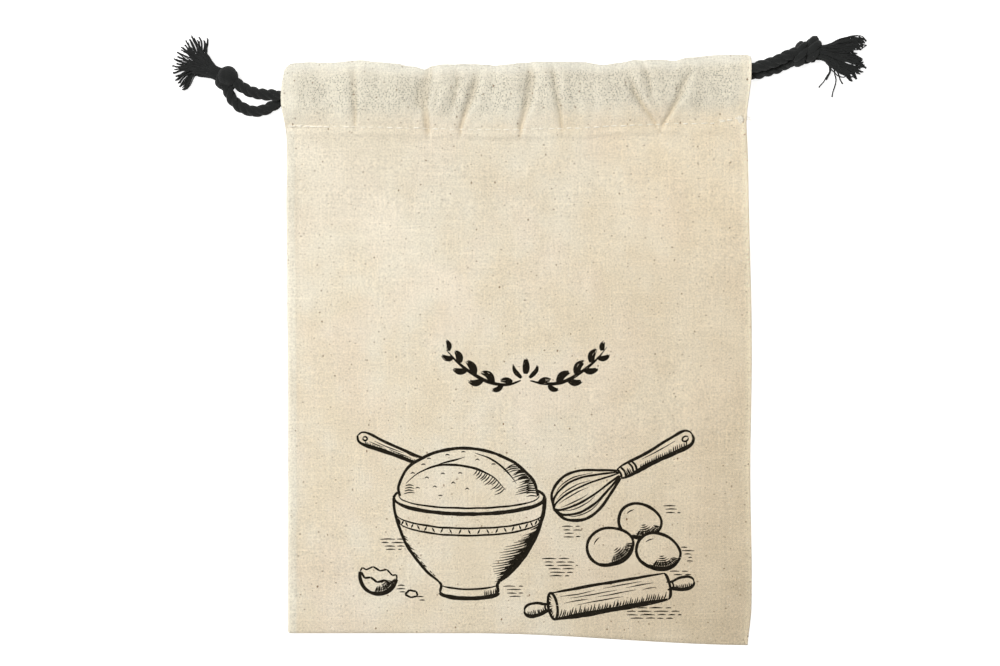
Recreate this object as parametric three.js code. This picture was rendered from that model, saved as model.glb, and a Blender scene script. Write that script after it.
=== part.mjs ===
// A cotton drawstring sack for flour, empty and laid flat, with a black cord knotted and frayed at each side.
// Millimetres. X runs across the sack, Y from the bottom seam to the mouth, and Z up from the table.
import * as THREE from "three";

// Sack
const halfWidth = 100.3; // the side seams, at the middle of the sack
const halfHeight = 125.6; // the bottom seam and the mouth, at the middle of the sack
const seamThickness = 2.2; // two panels and the turned-in seam allowance
const bodyThickness = 3.4; // the two panels with the air that is left between them
const bodySwell = 0.5; // the slow rise and fall of the front panel
const seamRoll = 7; // how far in from a seam the front panel reaches its full height
const undersideRoll = 5; // how far in from a seam the back panel lifts off the table
const undersideLift = 0.7;

// Drawcord channel: a deep hem along the mouth, with the cord inside it
const stitchLine = 97.2; // its row of stitches
const cordLine = 112; // the middle of the cord inside it
const channelHeight = 10.4; // near its ends, where one strand of the cord lies on the other
const channelMiddleHeight = 8.2; // between them, where the strands lie side by side
const strandsPart = 92; // how far out from the middle they start to come off each other
const strandsLevel = 64; // how far out they are side by side
const stitchHeight = 5.2; // where the stitches pull the hem down
const mouthHeight = 6.4; // at the folded edge
const channelEndHeight = 9.4; // at its open ends, over the cord that leaves them
const slopeBelow = 42; // how far under the stitches the front panel still slopes
const channelSpread = 2.8; // how far the channel's ends stand out past the side seams

// Gathers pressed across the channel: where each meets the stitches, its lean towards the right on the way
// to the mouth, its half width and depth, and how far it draws the mouth down
const gathers = [
  { x: -75.0, lean: 0.0, wide: 3.4, deep: 1.2, pull: 0.6 },
  { x: -55.5, lean: -0.1, wide: 3.2, deep: 1.0, pull: 0.2 },
  { x: -39.0, lean: 0.06, wide: 2.8, deep: 2.2, pull: 3.2 },
  { x: -27.6, lean: 0.0, wide: 2.2, deep: 1.0, pull: 0.5 },
  { x: -24.4, lean: 0.3, wide: 2.8, deep: 2.0, pull: 1.2 },
  { x: 0.8, lean: 0.2, wide: 3.0, deep: 2.4, pull: 0.2 },
  { x: 19.2, lean: -0.11, wide: 2.8, deep: 1.6, pull: 0.2 },
  { x: 41.5, lean: 0.02, wide: 2.6, deep: 0.8, pull: 1.6 },
  { x: 51.0, lean: 0.0, wide: 2.8, deep: 1.2, pull: 0.0 },
  { x: 63.6, lean: 0.46, wide: 3.2, deep: 2.2, pull: 0.4 },
  { x: 86.0, lean: 0.1, wide: 4.0, deep: 0.8, pull: 0.6 },
];
const gatherFade = 13; // how far under the stitches a gather runs out

// Mesh of the sack
const columns = 44;
const rowsInBody = 17;
const rowsInChannel = 11;

// Cord
const cordDiameter = 5;
const cordSides = 10;
const knotRadius = 5.4;
const knotTurns = 3; // turns of cord that show round it
const knotGroove = 0.055; // how deep the grooves between them are, as a share of its radius
const tasselNeck = 5.4; // its width and thickness where it leaves the knot
const tasselTip = 1.6; // its thickness where the yarns run out
const tasselYarns = 9; // bunches of yarn that show as points round its end
const clearance = 0.3; // between pieces that touch, and between the cord and the table

const calico = new THREE.MeshStandardMaterial({ color: 0xe6d9bf, roughness: 0.95, metalness: 0 });
const blackCotton = new THREE.MeshStandardMaterial({ color: 0x262727, roughness: 0.9, metalness: 0 });

const { lerp } = THREE.MathUtils;

function smooth(from, to, value) {
  return THREE.MathUtils.smoothstep(value, from, to);
}

function bump(distance, halfWide) {
  return Math.exp(-((distance / halfWide) ** 2));
}

// The sack's outline: each edge is a straight run with the small drifts of a soft seam.
function leftEdge(y) {
  const drift = 0.4 * (1 - smooth(-20, 20, y)) - 0.4 * bump(y - 63, 18);
  return -halfWidth - channelSpread * bump(y - cordLine, 14) + drift;
}

function rightEdge(y) {
  const channelEnd = 0.55 * channelSpread * bump(y - 118, 14) - 0.8 * bump(y - 99, 12);
  const cornerDrawnIn = 2.2 * (1 - smooth(-halfHeight, -116, y));
  return halfWidth + channelEnd + 1.8 * bump(y, 55) + 1.9 * bump(y + 108, 34) - cornerDrawnIn;
}

function bottomEdge(x) {
  return -halfHeight + 2.2 - 5.2 * smooth(-20, 105, x);
}

function mouthEdge(x) {
  const pulls = gathers.reduce((sum, g) => sum + g.pull * bump(x - leaned(g, halfHeight), 2.6 * g.wide), 0);
  return halfHeight + 0.6 - pulls + 2.5 * smooth(58, 84, x);
}

function leaned(gather, y) {
  return gather.x + gather.lean * (y - stitchLine);
}

// How deep the gathers are at a point of the front panel.
function gathered(x, y) {
  const inChannel = smooth(stitchLine - gatherFade, stitchLine + 4, y);
  const atMouth = 1 - 0.45 * smooth(cordLine + 3, halfHeight, y);
  return gathers.reduce((sum, g) => sum + g.deep * bump(x - leaned(g, y), g.wide), 0) * inChannel * atMouth;
}

// The front panel's height along the sack, from the bottom seam up over the channel to the mouth.
function heightAlong(x, y) {
  const slopeFoot = stitchLine - slopeBelow;
  const crown = lerp(channelMiddleHeight, channelHeight, smooth(strandsLevel, strandsPart, Math.abs(x)));
  if (y < stitchLine) return lerp(bodyThickness, stitchHeight, smooth(slopeFoot, stitchLine, y));
  if (y < cordLine) return lerp(stitchHeight, crown, smooth(stitchLine, cordLine, y));
  return lerp(crown, mouthHeight, smooth(cordLine, halfHeight, y));
}

function frontHeight(x, y, seamDistance) {
  const swell = bodySwell * Math.sin(x / 31 + y / 47) * Math.cos(x / 43 - y / 29);
  const full = heightAlong(x, y) + swell - gathered(x, y);
  const edge = y > stitchLine ? Math.min(full, channelEndHeight) : seamThickness;
  return lerp(edge, full, Math.sin((Math.PI / 2) * Math.min(1, seamDistance / seamRoll)));
}

function backHeight(seamDistance) {
  return undersideLift * (1 - smooth(0, undersideRoll, seamDistance));
}

// Rows lie closer together over the channel, where the shape changes most.
function rowPlace(row) {
  if (row <= rowsInBody) return lerp(-halfHeight, stitchLine - 3, row / rowsInBody);
  return lerp(stitchLine - 3, halfHeight, (row - rowsInBody) / rowsInChannel);
}

function sack() {
  const rows = rowsInBody + rowsInChannel;
  const geometry = new THREE.BoxGeometry(1, 1, 1, columns, rows, 1);
  const position = geometry.attributes.position;
  for (let i = 0; i < position.count; i++) {
    const u = position.getX(i) + 0.5;
    const row = Math.round((position.getY(i) + 0.5) * rows);
    const nominal = rowPlace(row);
    const x = lerp(leftEdge(nominal), rightEdge(nominal), u);
    const share = (nominal + halfHeight) / (2 * halfHeight);
    const y = lerp(bottomEdge(x), mouthEdge(x), share);
    const seamDistance = Math.min(x - leftEdge(nominal), rightEdge(nominal) - x, y - bottomEdge(x));
    const onFront = position.getZ(i) > 0;
    position.setXYZ(i, x, y, onFront ? frontHeight(x, y, seamDistance) : backHeight(seamDistance));
  }
  geometry.computeVertexNormals();
  return named("sack", geometry, calico);
}

// One strand of cord, from just outside the channel to just outside its knot.
function strand(name, route) {
  const curve = new THREE.CatmullRomCurve3(route.map((p) => new THREE.Vector3(...p)), false, "centripetal");
  const section = new THREE.Shape();
  for (let i = 0; i < cordSides; i++) {
    const turn = (2 * Math.PI * i) / cordSides;
    const place = [(cordDiameter / 2) * Math.cos(turn), (cordDiameter / 2) * Math.sin(turn)];
    if (i === 0) section.moveTo(...place);
    else section.lineTo(...place);
  }
  const steps = Math.ceil(curve.getLength() / (cordDiameter / 2));
  return named(name, new THREE.ExtrudeGeometry(section, { steps, extrudePath: curve }), blackCotton);
}

// A single overhand knot: a ball with the grooves between the turns of cord that wrap it.
function knot(name, place, stretch, turned) {
  const geometry = new THREE.SphereGeometry(knotRadius, 24, 14);
  const position = geometry.attributes.position;
  for (let i = 0; i < position.count; i++) {
    const v = new THREE.Vector3().fromBufferAttribute(position, i);
    const high = v.z / knotRadius;
    const wrap = Math.cos(knotTurns * Math.atan2(v.y, v.x) + 2.2 * high);
    const groove = 1 + knotGroove * wrap * (1 - high ** 4);
    position.setXYZ(i, v.x * groove * stretch, v.y * groove, v.z);
  }
  geometry.computeVertexNormals();
  const mesh = named(name, geometry, blackCotton);
  mesh.position.set(...place, knotRadius + clearance);
  mesh.rotation.z = turned;
  return mesh;
}

// A frayed cord end: one solid out to the uneven tips of its yarns, thick at the knot and thin at the tips.
function tassel(name, [x, y], towards, spread, reach) {
  const outline = new THREE.Shape();
  outline.moveTo(0, -tasselNeck / 2);
  for (let i = 0; i <= 2 * tasselYarns; i++) {
    const angle = spread * (i / (2 * tasselYarns) - 0.5);
    const uneven = 1 + 0.05 * Math.sin(5.1 * i) + 0.04 * Math.cos(2.3 * i);
    const long = reach * uneven * (i % 2 ? 1 : 0.86);
    outline.lineTo(long * Math.cos(angle), long * Math.sin(angle));
  }
  outline.lineTo(0, tasselNeck / 2);
  outline.closePath();
  const geometry = new THREE.ExtrudeGeometry(outline, { depth: 1, steps: 1, bevelEnabled: false });
  const position = geometry.attributes.position;
  for (let i = 0; i < position.count; i++) {
    const out = Math.min(1, Math.hypot(position.getX(i), position.getY(i)) / reach);
    const thickness = lerp(tasselNeck, tasselTip, out);
    const middle = lerp(knotRadius, tasselTip / 2, out) + clearance;
    position.setZ(i, middle + thickness * (position.getZ(i) - 0.5));
  }
  geometry.computeVertexNormals();
  const mesh = named(name, geometry, blackCotton);
  mesh.position.set(x, y, 0);
  mesh.rotation.z = towards;
  return mesh;
}

function named(name, geometry, material) {
  const mesh = new THREE.Mesh(geometry, material);
  mesh.name = name;
  return mesh;
}

// The left cord end leaves the channel as a slack loop, and the right one as two strands lying on each other.
function leftCordEnd() {
  const end = new THREE.Group();
  end.add(
    strand("cord_left_upper", [
      [-103.6, 110.5, 7.6],
      [-107.5, 110.7, 7.4],
      [-112.2, 111.3, 6.9],
      [-116.9, 112.7, 6.3],
      [-120.7, 115.0, 5.9],
    ]),
    strand("cord_left_lower", [
      [-103.6, 108.0, 2.9],
      [-109.2, 105.1, 2.9],
      [-114.8, 104.0, 2.9],
      [-120.4, 105.8, 3.2],
      [-124.0, 109.0, 4.0],
      [-125.4, 111.7, 4.7],
    ]),
    knot("knot_left", [-127, 118.1], 1, 0.6),
    tassel("tassel_left", [-132, 121.6], THREE.MathUtils.degToRad(158), 1.66, 19.2),
  );
  return end;
}

function rightCordEnd() {
  const end = new THREE.Group();
  end.add(
    strand("cord_right_upper", [
      [102.4, 122.5, 7.9],
      [108.2, 124.0, 8.2],
      [113.4, 125.9, 8.3],
      [118.2, 128.2, 8.2],
    ]),
    strand("cord_right_lower", [
      [102.4, 120.0, 2.9],
      [108.2, 121.4, 2.9],
      [113.8, 123.2, 2.9],
      [119.2, 125.8, 3.1],
    ]),
    knot("knot_right", [125.6, 129.8], 1.2, 0.45),
    tassel("tassel_right", [133, 131.9], THREE.MathUtils.degToRad(-18), 1.3, 19.4),
  );
  return end;
}

const flourSack = new THREE.Group();
flourSack.add(sack(), leftCordEnd(), rightCordEnd());

export default flourSack;
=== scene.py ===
import math
import random

import bpy
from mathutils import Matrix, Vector, noise
from mathutils.bvhtree import BVHTree


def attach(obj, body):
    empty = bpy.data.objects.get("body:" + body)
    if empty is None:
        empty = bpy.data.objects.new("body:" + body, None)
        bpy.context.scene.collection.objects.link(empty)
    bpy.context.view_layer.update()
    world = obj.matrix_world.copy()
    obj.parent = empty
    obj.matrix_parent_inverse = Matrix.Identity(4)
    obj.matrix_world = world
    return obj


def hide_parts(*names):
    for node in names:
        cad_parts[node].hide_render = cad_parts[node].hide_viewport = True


# An empty cotton sack for flour, lying flat, with a black drawcord knotted and frayed at each end of its hem.
# Metres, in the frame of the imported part: X across, Y from the bottom to the mouth, Z up from the table.
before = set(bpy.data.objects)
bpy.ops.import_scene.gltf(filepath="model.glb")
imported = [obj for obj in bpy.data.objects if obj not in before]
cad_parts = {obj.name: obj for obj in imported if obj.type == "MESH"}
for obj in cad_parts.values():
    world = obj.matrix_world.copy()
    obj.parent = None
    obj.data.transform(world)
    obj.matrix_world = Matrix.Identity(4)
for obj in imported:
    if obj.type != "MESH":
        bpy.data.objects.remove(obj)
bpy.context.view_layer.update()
mm = 0.001


def held(value):
    return min(1.0, max(0.0, value))


def smooth(low, high, value):
    t = held((value - low) / (high - low))
    return t * t * (3 - 2 * t)


def hump(distance, width):
    return math.exp(-((distance / width) ** 2))


def mix(a, b, share):
    return a + (b - a) * share


def ripple(x, y, seed=0.0):
    return noise.noise(Vector((x, y, seed)))


def level(turn):
    # the level direction at a turn, in radians
    return Vector((math.cos(turn), math.sin(turn), 0))


def leftOf(ahead):
    return Vector((-ahead.y, ahead.x, 0))


def valueAt(points, place, eased=True):
    # the value at a place between points given as (place, value), held level beyond them
    if place <= points[0][0]:
        return points[0][1]
    for (a, low), (b, high) in zip(points, points[1:]):
        if place <= b:
            t = (place - a) / (b - a)
            return mix(low, high, t * t * (3 - 2 * t) if eased else t)
    return points[-1][1]


def evenly(line, step):
    # points along a line in even steps
    lengths = [0.0]
    for a, b in zip(line, line[1:]):
        lengths.append(lengths[-1] + (b - a).length)
    count = max(1, round(lengths[-1] / step))
    even, at = [], 0
    for i in range(count + 1):
        want = lengths[-1] * i / count
        while at < len(line) - 2 and lengths[at + 1] < want:
            at += 1
        span = lengths[at + 1] - lengths[at]
        even.append(line[at].lerp(line[at + 1], (want - lengths[at]) / span if span else 0.0))
    return even


def spline(points, step):
    # a smooth line through the points, in even steps
    line = [Vector(p) for p in points]
    ends = [line[0] * 2 - line[1]] + line + [line[-1] * 2 - line[-2]]
    fine = []
    for a, b, c, d in zip(ends, ends[1:], ends[2:], ends[3:]):
        count = max(2, math.ceil((c - b).length / (step * 0.4)))
        square = 2 * a - 5 * b + 4 * c - d
        cube = 3 * b - a - 3 * c + d
        for i in range(count):
            t = i / count
            fine.append(0.5 * (2 * b + (c - a) * t + square * t**2 + cube * t**3))
    fine.append(line[-1])
    return evenly(fine, step)


def inMetres(points):
    return [Vector(p) * mm for p in points]


def carried(line):
    # a pair of sideways directions at each point of a line, which don't twist as they go along it
    ahead = [(b - a).normalized() for a, b in zip(line, line[1:])]
    ahead.append(ahead[-1])
    side = ahead[0].orthogonal().normalized()
    frames = []
    for i, forward in enumerate(ahead):
        if i:
            side = side - forward * side.dot(forward)
            side.normalize()
        frames.append((side.copy(), forward.cross(side)))
    return frames


def linked(name, data):
    made = bpy.data.objects.new(name, data)
    bpy.context.collection.objects.link(made)
    return made


class Shape:  # a mesh in the making
    def __init__(self):
        self.vertices = []
        self.faces = []

    def tube(self, line, sides, radius):
        # radius(i, turn) is the distance of the surface from the line at its i-th point
        first = len(self.vertices)
        last = first + (len(line) - 1) * sides
        for i, (middle, (side, up)) in enumerate(zip(line, carried(line))):
            for j in range(sides):
                turn = 2 * math.pi * j / sides
                point = middle + (side * math.cos(turn) + up * math.sin(turn)) * radius(i, turn)
                point.z = max(point.z, 0.02 * mm)  # flattened by the table
                self.vertices.append(point)
        for ring in range(first, last, sides):
            for j in range(sides):
                a, b = ring + j, ring + (j + 1) % sides
                self.faces.append((a, b, b + sides, a + sides))
        self.faces.append(tuple(reversed(range(first, first + sides))))
        self.faces.append(tuple(range(last, last + sides)))

    def piece(self, name, material, slot, smoothShaded=True):
        mesh = bpy.data.meshes.new(name)
        mesh.from_pydata([tuple(v) for v in self.vertices], [], self.faces)
        mesh.validate()
        mesh.polygons.foreach_set("use_smooth", [smoothShaded] * len(mesh.polygons))
        mesh.materials.append(material)
        piece = linked(name, mesh)
        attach(piece, "root")
        return piece


# Shader sockets in Python expressions: arithmetic on a Value adds Math nodes
class Value:
    def __init__(self, shader, made, output=0):
        self.shader = shader
        self.made = made
        self.socket = made.outputs[output]

    def __getitem__(self, output):
        return Value(self.shader, self.made, output)

    def math(self, operation, *terms):
        return self.shader.node("Math", {"operation": operation}, dict(enumerate(terms)))

    def __add__(self, other):
        return self.math("ADD", self, other)

    def __radd__(self, other):
        return self.math("ADD", other, self)

    def __sub__(self, other):
        return self.math("SUBTRACT", self, other)

    def __rsub__(self, other):
        return self.math("SUBTRACT", other, self)

    def __mul__(self, other):
        return self.math("MULTIPLY", self, other)

    def __rmul__(self, other):
        return self.math("MULTIPLY", other, self)

    def __truediv__(self, other):
        return self.math("DIVIDE", self, other)

    def __rtruediv__(self, other):
        return self.math("DIVIDE", other, self)

    def sine(self):
        return self.math("SINE", self)

    def size(self):
        return self.math("ABSOLUTE", self)

    def above(self, other):
        return self.math("MAXIMUM", self, other)

    def rise(self, low, high, start=0.0, end=1.0):
        settings = {"interpolation_type": "SMOOTHSTEP"}
        sockets = {"Value": self, "From Min": low, "From Max": high, "To Min": start, "To Max": end}
        return self.shader.node("MapRange", settings, sockets)

    def fall(self, low, high, start=1.0):
        return self.rise(low, high, start, 0.0)


class Shader:
    def __init__(self, name):
        self.material = bpy.data.materials.new(name)
        self.material.use_nodes = True
        self.tree = self.material.node_tree
        self.surface = self.tree.nodes["Principled BSDF"]

    def node(self, kind, settings, sockets):
        made = self.tree.nodes.new("ShaderNode" + kind)
        for name, value in settings.items():
            setattr(made, name, value)
        self.fill(made, sockets)
        return Value(self, made)

    def fill(self, made, sockets):
        for name, value in sockets.items():
            if isinstance(value, Value):
                self.tree.links.new(value.socket, made.inputs[name])
            else:
                made.inputs[name].default_value = value

    def stretched(self, place, stretch):
        return self.node("VectorMath", {"operation": "MULTIPLY"}, {0: place, 1: stretch})

    def place(self, stretch=(1, 1, 1)):
        return self.stretched(self.node("TexCoord", {}, {})["Object"], stretch)

    def xyz(self):
        return self.node("SeparateXYZ", {}, {0: self.place()})

    def mark(self, name):
        # a value written on the mesh
        return self.node("Attribute", {"attribute_name": name}, {})["Fac"]

    def noise(self, stretch, detail=2.0, roughness=0.5):
        # stretch is one over the size of a patch along X, Y and Z, in metres
        sockets = {"Vector": self.place(stretch), "Scale": 1.0, "Detail": detail, "Roughness": roughness}
        return self.node("TexNoise", {}, sockets)

    def patchy(self, stretch, detail=2.0, roughness=0.5):
        return self.noise(stretch, detail, roughness)["Fac"]

    def uneven(self, stretch, detail=2.0, roughness=0.5):
        # the same about 0
        return self.patchy(stretch, detail, roughness) - 0.5

    def noisyPlace(self, reach):
        # object coordinates pushed about by up to half of reach
        push = self.noise((700, 700, 700), 1.0)["Color"]
        centred = self.node("VectorMath", {"operation": "SUBTRACT"}, {0: push, 1: (0.5, 0.5, 0.5)})
        sockets = {0: centred, 1: (reach, reach, reach), 2: self.place()}
        return self.node("VectorMath", {"operation": "MULTIPLY_ADD"}, sockets)

    def cells(self, place, scale):
        return self.node("TexVoronoi", {"voronoi_dimensions": "2D"}, {"Vector": place, "Scale": scale})

    def blend(self, share, first, second, way="MIX"):
        return self.node("Mix", {"data_type": "RGBA", "blend_type": way}, {0: share, 6: first, 7: second})[2]

    def bump(self, height, strength, depth):
        return self.node("Bump", {}, {"Height": height, "Strength": strength, "Distance": depth})

    def finish(self, sockets):
        self.fill(self.surface, sockets)
        return self.material


# The camera and the cords come first
overhead = {
    "centre": (-0.0076, 0.0074),  # the point of the table under the lens
    "height": 1.032,
    "lens": 85,
    "clip": (0.05, 20),
}


def addCamera():
    data = bpy.data.cameras.new("camera")
    data.lens = overhead["lens"]
    data.clip_start, data.clip_end = overhead["clip"]
    camera = linked("camera", data)
    camera.location = (*overhead["centre"], overhead["height"])
    bpy.context.scene.camera = camera


cordShape = {
    "radius": 2.6 * mm,
    "plies": 3,
    "pitch": 12 * mm,  # along the cord for one turn of a ply
    "plyRadius": 1.38 * mm,
    "yarns": 7,  # round the outside of each ply
    "yarnDepth": 0.13 * mm,
    "step": 0.5 * mm,
    "sides": 28,
    "squeezed": 0.78,  # share of the radius inside the hem
    "tucked": 0.8,  # and where the winding of a knot begins and ends
}

# The routes of the four strands outside the hem, as in the part's source, with the stub inside the hem before
# them and the end inside the knot after them
strands = {
    "cord_left_upper": {
        "inside": [(-95.5, 110.4, 6.2), (-99.5, 110.4, 7.1)],
        "route": [
            (-103.6, 110.5, 7.6), (-107.5, 110.7, 7.4), (-112.2, 111.3, 6.9), (-116.9, 112.7, 6.3),
            (-120.7, 115.0, 5.9),
        ],
        "end": [(-123.6, 117.2, 5.6)],
        "knot": "knot_left",
    },
    "cord_left_lower": {
        "inside": [(-95.5, 109.0, 2.9), (-99.5, 108.7, 2.9)],
        "route": [
            (-103.6, 108.0, 2.9), (-109.2, 105.1, 2.9), (-114.8, 104.0, 2.9), (-120.4, 105.8, 3.2),
            (-124.0, 109.0, 4.0), (-125.4, 111.7, 4.7),
        ],
        "end": [(-126.4, 115.2, 5.2)],
        "knot": "knot_left",
    },
    "cord_right_upper": {
        "inside": [(92.4, 120.4, 5.0), (97.6, 121.4, 7.0)],
        "route": [(102.4, 122.5, 7.9), (108.2, 124.0, 8.2), (113.4, 125.9, 8.3), (118.2, 128.2, 8.2)],
        "end": [(121.6, 129.2, 7.2)],
        "knot": "knot_right",
    },
    "cord_right_lower": {
        "inside": [(92.4, 118.8, 2.9), (97.4, 119.3, 2.9)],
        "route": [(102.4, 120.0, 2.9), (108.2, 121.4, 2.9), (113.8, 123.2, 2.9), (119.2, 125.8, 3.1)],
        "end": [(122.6, 127.6, 4.2)],
        "knot": "knot_right",
    },
}


def plyOutline(k, seed, girth):
    # one ply's own small swellings, and the lobes of its yarns
    def radius(i, turn):
        swell = 1 + 0.07 * ripple(i * 0.16, k * 5.3, seed + 4)
        lobe = abs(math.cos(0.5 * cordShape["yarns"] * turn - i * 0.32))
        return cordShape["plyRadius"] * girth[i] * swell - cordShape["yarnDepth"] * (1 - lobe)

    return radius


def addRope(shape, line, seed, girth=None):
    # plies laid round a line, each with its yarns twisted the other way; girth is the share of the cord's
    # radius at each point
    girth = girth or [1.0] * len(line)
    frames = carried(line)
    offset = cordShape["radius"] - cordShape["plyRadius"]
    for k in range(cordShape["plies"]):
        plyLine = []
        for i, (middle, (side, up)) in enumerate(zip(line, frames)):
            turn = 2 * math.pi * (k / cordShape["plies"] + i * cordShape["step"] / cordShape["pitch"]) + seed
            slack = 1 + 0.12 * ripple(i * 0.11, k * 3.1, seed)
            out = side * math.cos(turn) + up * math.sin(turn)
            plyLine.append(middle + out * (offset * slack * girth[i]))
        shape.tube(plyLine, cordShape["sides"], plyOutline(k, seed, girth))


def addStrand(name, seed, material):
    facts = strands[name]
    points = facts["inside"] + facts["route"] + facts["end"]
    line = spline(inMetres(points), cordShape["step"])
    exitPoint = Vector(facts["route"][0]) * mm
    out = min(range(len(line)), key=lambda i: (line[i] - exitPoint).length)
    girth = [mix(cordShape["squeezed"], 1.0, smooth(out - 4, out + 5, i)) for i in range(len(line))]
    shape = Shape()
    addRope(shape, line, seed, girth)
    piece = shape.piece(name + "_rope", material, "black_cotton")
    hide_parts(name)
    return piece, line


# A knot is the cord wound round the two strands. Each turn passes over them from its top to its bottom and
# back under them to the next: the middle of the cord at both, and the share of its radius there. A knot may
# have a ball: a short fat turn on top that closes it.
knots = {
    "knot_left": {
        "turns": [((-128.9, 119.0), (-127.9, 114.4), 1.05), ((-125.8, 119.2), (-125.8, 118.6), 1.3)],
        "height": 5.6,  # of the middle of the knot over the table
        "lift": (0.2, 1.3),  # how far the cord passes over and under it, in each turn
        "ball": [(-128.95, 122.05, 5.8), (-125.8, 118.9, 6.2), (-122.65, 115.75, 5.8)],
        "ballRadius": 4.6,
        "begins": (-130.0, 117.6, 4.4),
        "ends": (-123.6, 117.6, 4.6),
        "tuck": [
            (-129.6, 118.8, 4.4), (-129.3, 116.6, 3.4), (-128.2, 115.4, 3.0), (-126.3, 115.0, 3.0),
            (-124.6, 115.8, 3.6),
        ],
    },
    "knot_right": {
        "turns": [((124.2, 132.2), (122.0, 125.5), 1.04), ((129.0, 133.6), (127.2, 127.5), 1.22)],
        "height": 5.6,
        "lift": (2.8, 2.2),
        "begins": (119.6, 128.4, 4.6),
        "ends": (130.2, 130.6, 4.6),
        "tuck": [
            (115.6, 124.8, 4.6), (118.4, 125.5, 3.4), (121.6, 125.9, 3.0), (125.2, 126.9, 3.2),
            (128.0, 128.8, 4.2),
        ],
    },
}


def halfTurn(start, finish, height, lift, steps):
    # points from one side of a knot to the other, over it, or under it where lift is below 0
    points = []
    for k in steps:
        turn = math.pi * k / 8
        place = start.lerp(finish, 0.5 - 0.5 * math.cos(turn))
        points.append(Vector((place.x, place.y, height + lift * math.sin(turn))))
    return points


def windingLine(facts):
    # the middle of the winding cord, and the share of its radius at each point
    height = facts["height"] * mm
    turns = []
    for top, bottom, share in facts["turns"]:
        turns.append((Vector((*top, 0)) * mm, Vector((*bottom, 0)) * mm, share))
    points = [Vector(facts["begins"]) * mm]
    shares = [cordShape["tucked"]]
    for i, (top, bottom, share) in enumerate(turns):
        lift = facts["lift"][i] * mm
        points += halfTurn(top, bottom, height, lift, range(9))
        shares += [share] * 9
        if i + 1 < len(turns):
            nextTop, _, nextShare = turns[i + 1]
            points += halfTurn(bottom, nextTop, height, -lift, range(1, 8))
            shares += [mix(share, nextShare, k / 8) for k in range(1, 8)]
    points.append(Vector(facts["ends"]) * mm)
    shares.append(cordShape["tucked"])
    return points, shares


def windingGirth(line, points, shares):
    # the share of the radius at each step of the line, eased from one turn to the next
    girth = []
    for place in line:
        nearest = min(range(len(points)), key=lambda k: (points[k] - place).length)
        girth.append(shares[nearest])
    for _ in range(4):
        ends = girth[:1] + girth + girth[-1:]
        girth = [(a + b + c) / 3 for a, b, c in zip(ends, ends[1:], ends[2:])]
    return girth


def addBall(shape, facts):
    line = spline(inMetres(facts["ball"]), 0.6 * cordShape["step"])
    middle = (len(line) - 1) / 2

    def radius(i, turn):
        rounded = math.sqrt(max(0.01, 1 - ((i - middle) / middle) ** 2))
        ply = 0.91 + 0.09 * abs(math.cos(1.5 * turn - 0.13 * i)) ** 0.5
        lobe = abs(math.cos(14 * turn + 0.32 * i))
        return rounded * (facts["ballRadius"] * mm * ply - cordShape["yarnDepth"] * (1 - lobe))

    shape.tube(line, 4 * cordShape["sides"], radius)


def addKnot(name, seed, material):
    facts = knots[name]
    points, shares = windingLine(facts)
    line = evenly(points, cordShape["step"])
    shape = Shape()
    addRope(shape, line, seed, windingGirth(line, points, shares))
    if "ball" in facts:
        addBall(shape, facts)
    # the strands that run through the turns
    begins, ends = facts["begins"], facts["ends"]
    core = [begins, [(a + b) / 2 for a, b in zip(begins, ends)], ends]
    for route in (core, facts["tuck"]):
        seed += 1
        addRope(shape, spline(inMetres(route), cordShape["step"]), seed)
    piece = shape.piece(name + "_winding", material, "black_cotton")
    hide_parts(name)
    return piece


# A tassel is the cord's own yarns combed out past the knot: bunches that fan from the neck to their tips.
# The fan gives how far the tips reach at each angle; strays leave it and have points of their own.
tassels = {
    "tassel_left": {
        "neck": (-130.6, 120.2, 5.2),
        "towards": 157,  # the middle angle of the fan, in degrees
        "neckWidth": 5.4,
        "neckHeight": 4.6,
        "together": 0.64,  # the share of their length over which the bunches lie as one
        "bow": (0.68, 0.32),  # how much of their angle they have there, below and above the middle angle
        "bunches": 23,
        "perBunch": 5,  # yarns in each
        "bend": 0.3,  # how far the bunches and the yarns stray from straight
        "sway": 0.35,
        "fan": [
            (107, 16.9), (116, 18.0), (128, 20.6), (144, 19.9), (161, 20.3), (172, 20.2), (188, 19.0),
            (205, 16.4),
        ],
        "strays": [
            [(-140.6, 119.6, 2.6), (-143.6, 117.2, 1.6), (-146.4, 113.6, 0.9)],
            [(-141.6, 119.6, 2.0), (-144.6, 117.6, 1.4), (-147.4, 114.8, 0.8)],
        ],
    },
    "tassel_right": {
        "neck": (130.8, 130.2, 5.4),
        "towards": -6,
        "neckWidth": 7.6,
        "neckHeight": 5.4,
        "together": 0.80,
        "bow": (0.94, 1.12),
        "bunches": 22,
        "perBunch": 8,
        "bend": 1.0,
        "sway": 0.6,
        "fan": [
            (-40, 20.2), (-32, 20.8), (-20, 22.2), (-14, 20.6), (-7, 19.4), (-2, 17.2), (4, 19.6),
            (9, 22.0), (15, 21.8),
        ],
        "strays": [
            [(135.6, 124.6, 3.2), (135.4, 119.6, 1.8), (131.6, 114.4, 0.9)],
            [(136.4, 123.8, 3.6), (135.8, 119.8, 2.2), (134.8, 117.8, 1.6)],
            [(137.6, 122.8, 2.8), (138.8, 117.2, 1.6), (137.5, 110.4, 0.9)],
            [(138.8, 122.2, 2.6), (140.4, 119.0, 1.4), (142.1, 116.0, 0.9)],
        ],
    },
}
yarnShape = {
    "thick": 0.44 * mm,  # radius at the neck
    "thin": 0.23 * mm,  # radius at the tip
    "strayTip": 0.3 * mm,
    "straySway": 0.6,
    "sides": 6,
    "step": 1.1 * mm,
}


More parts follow.
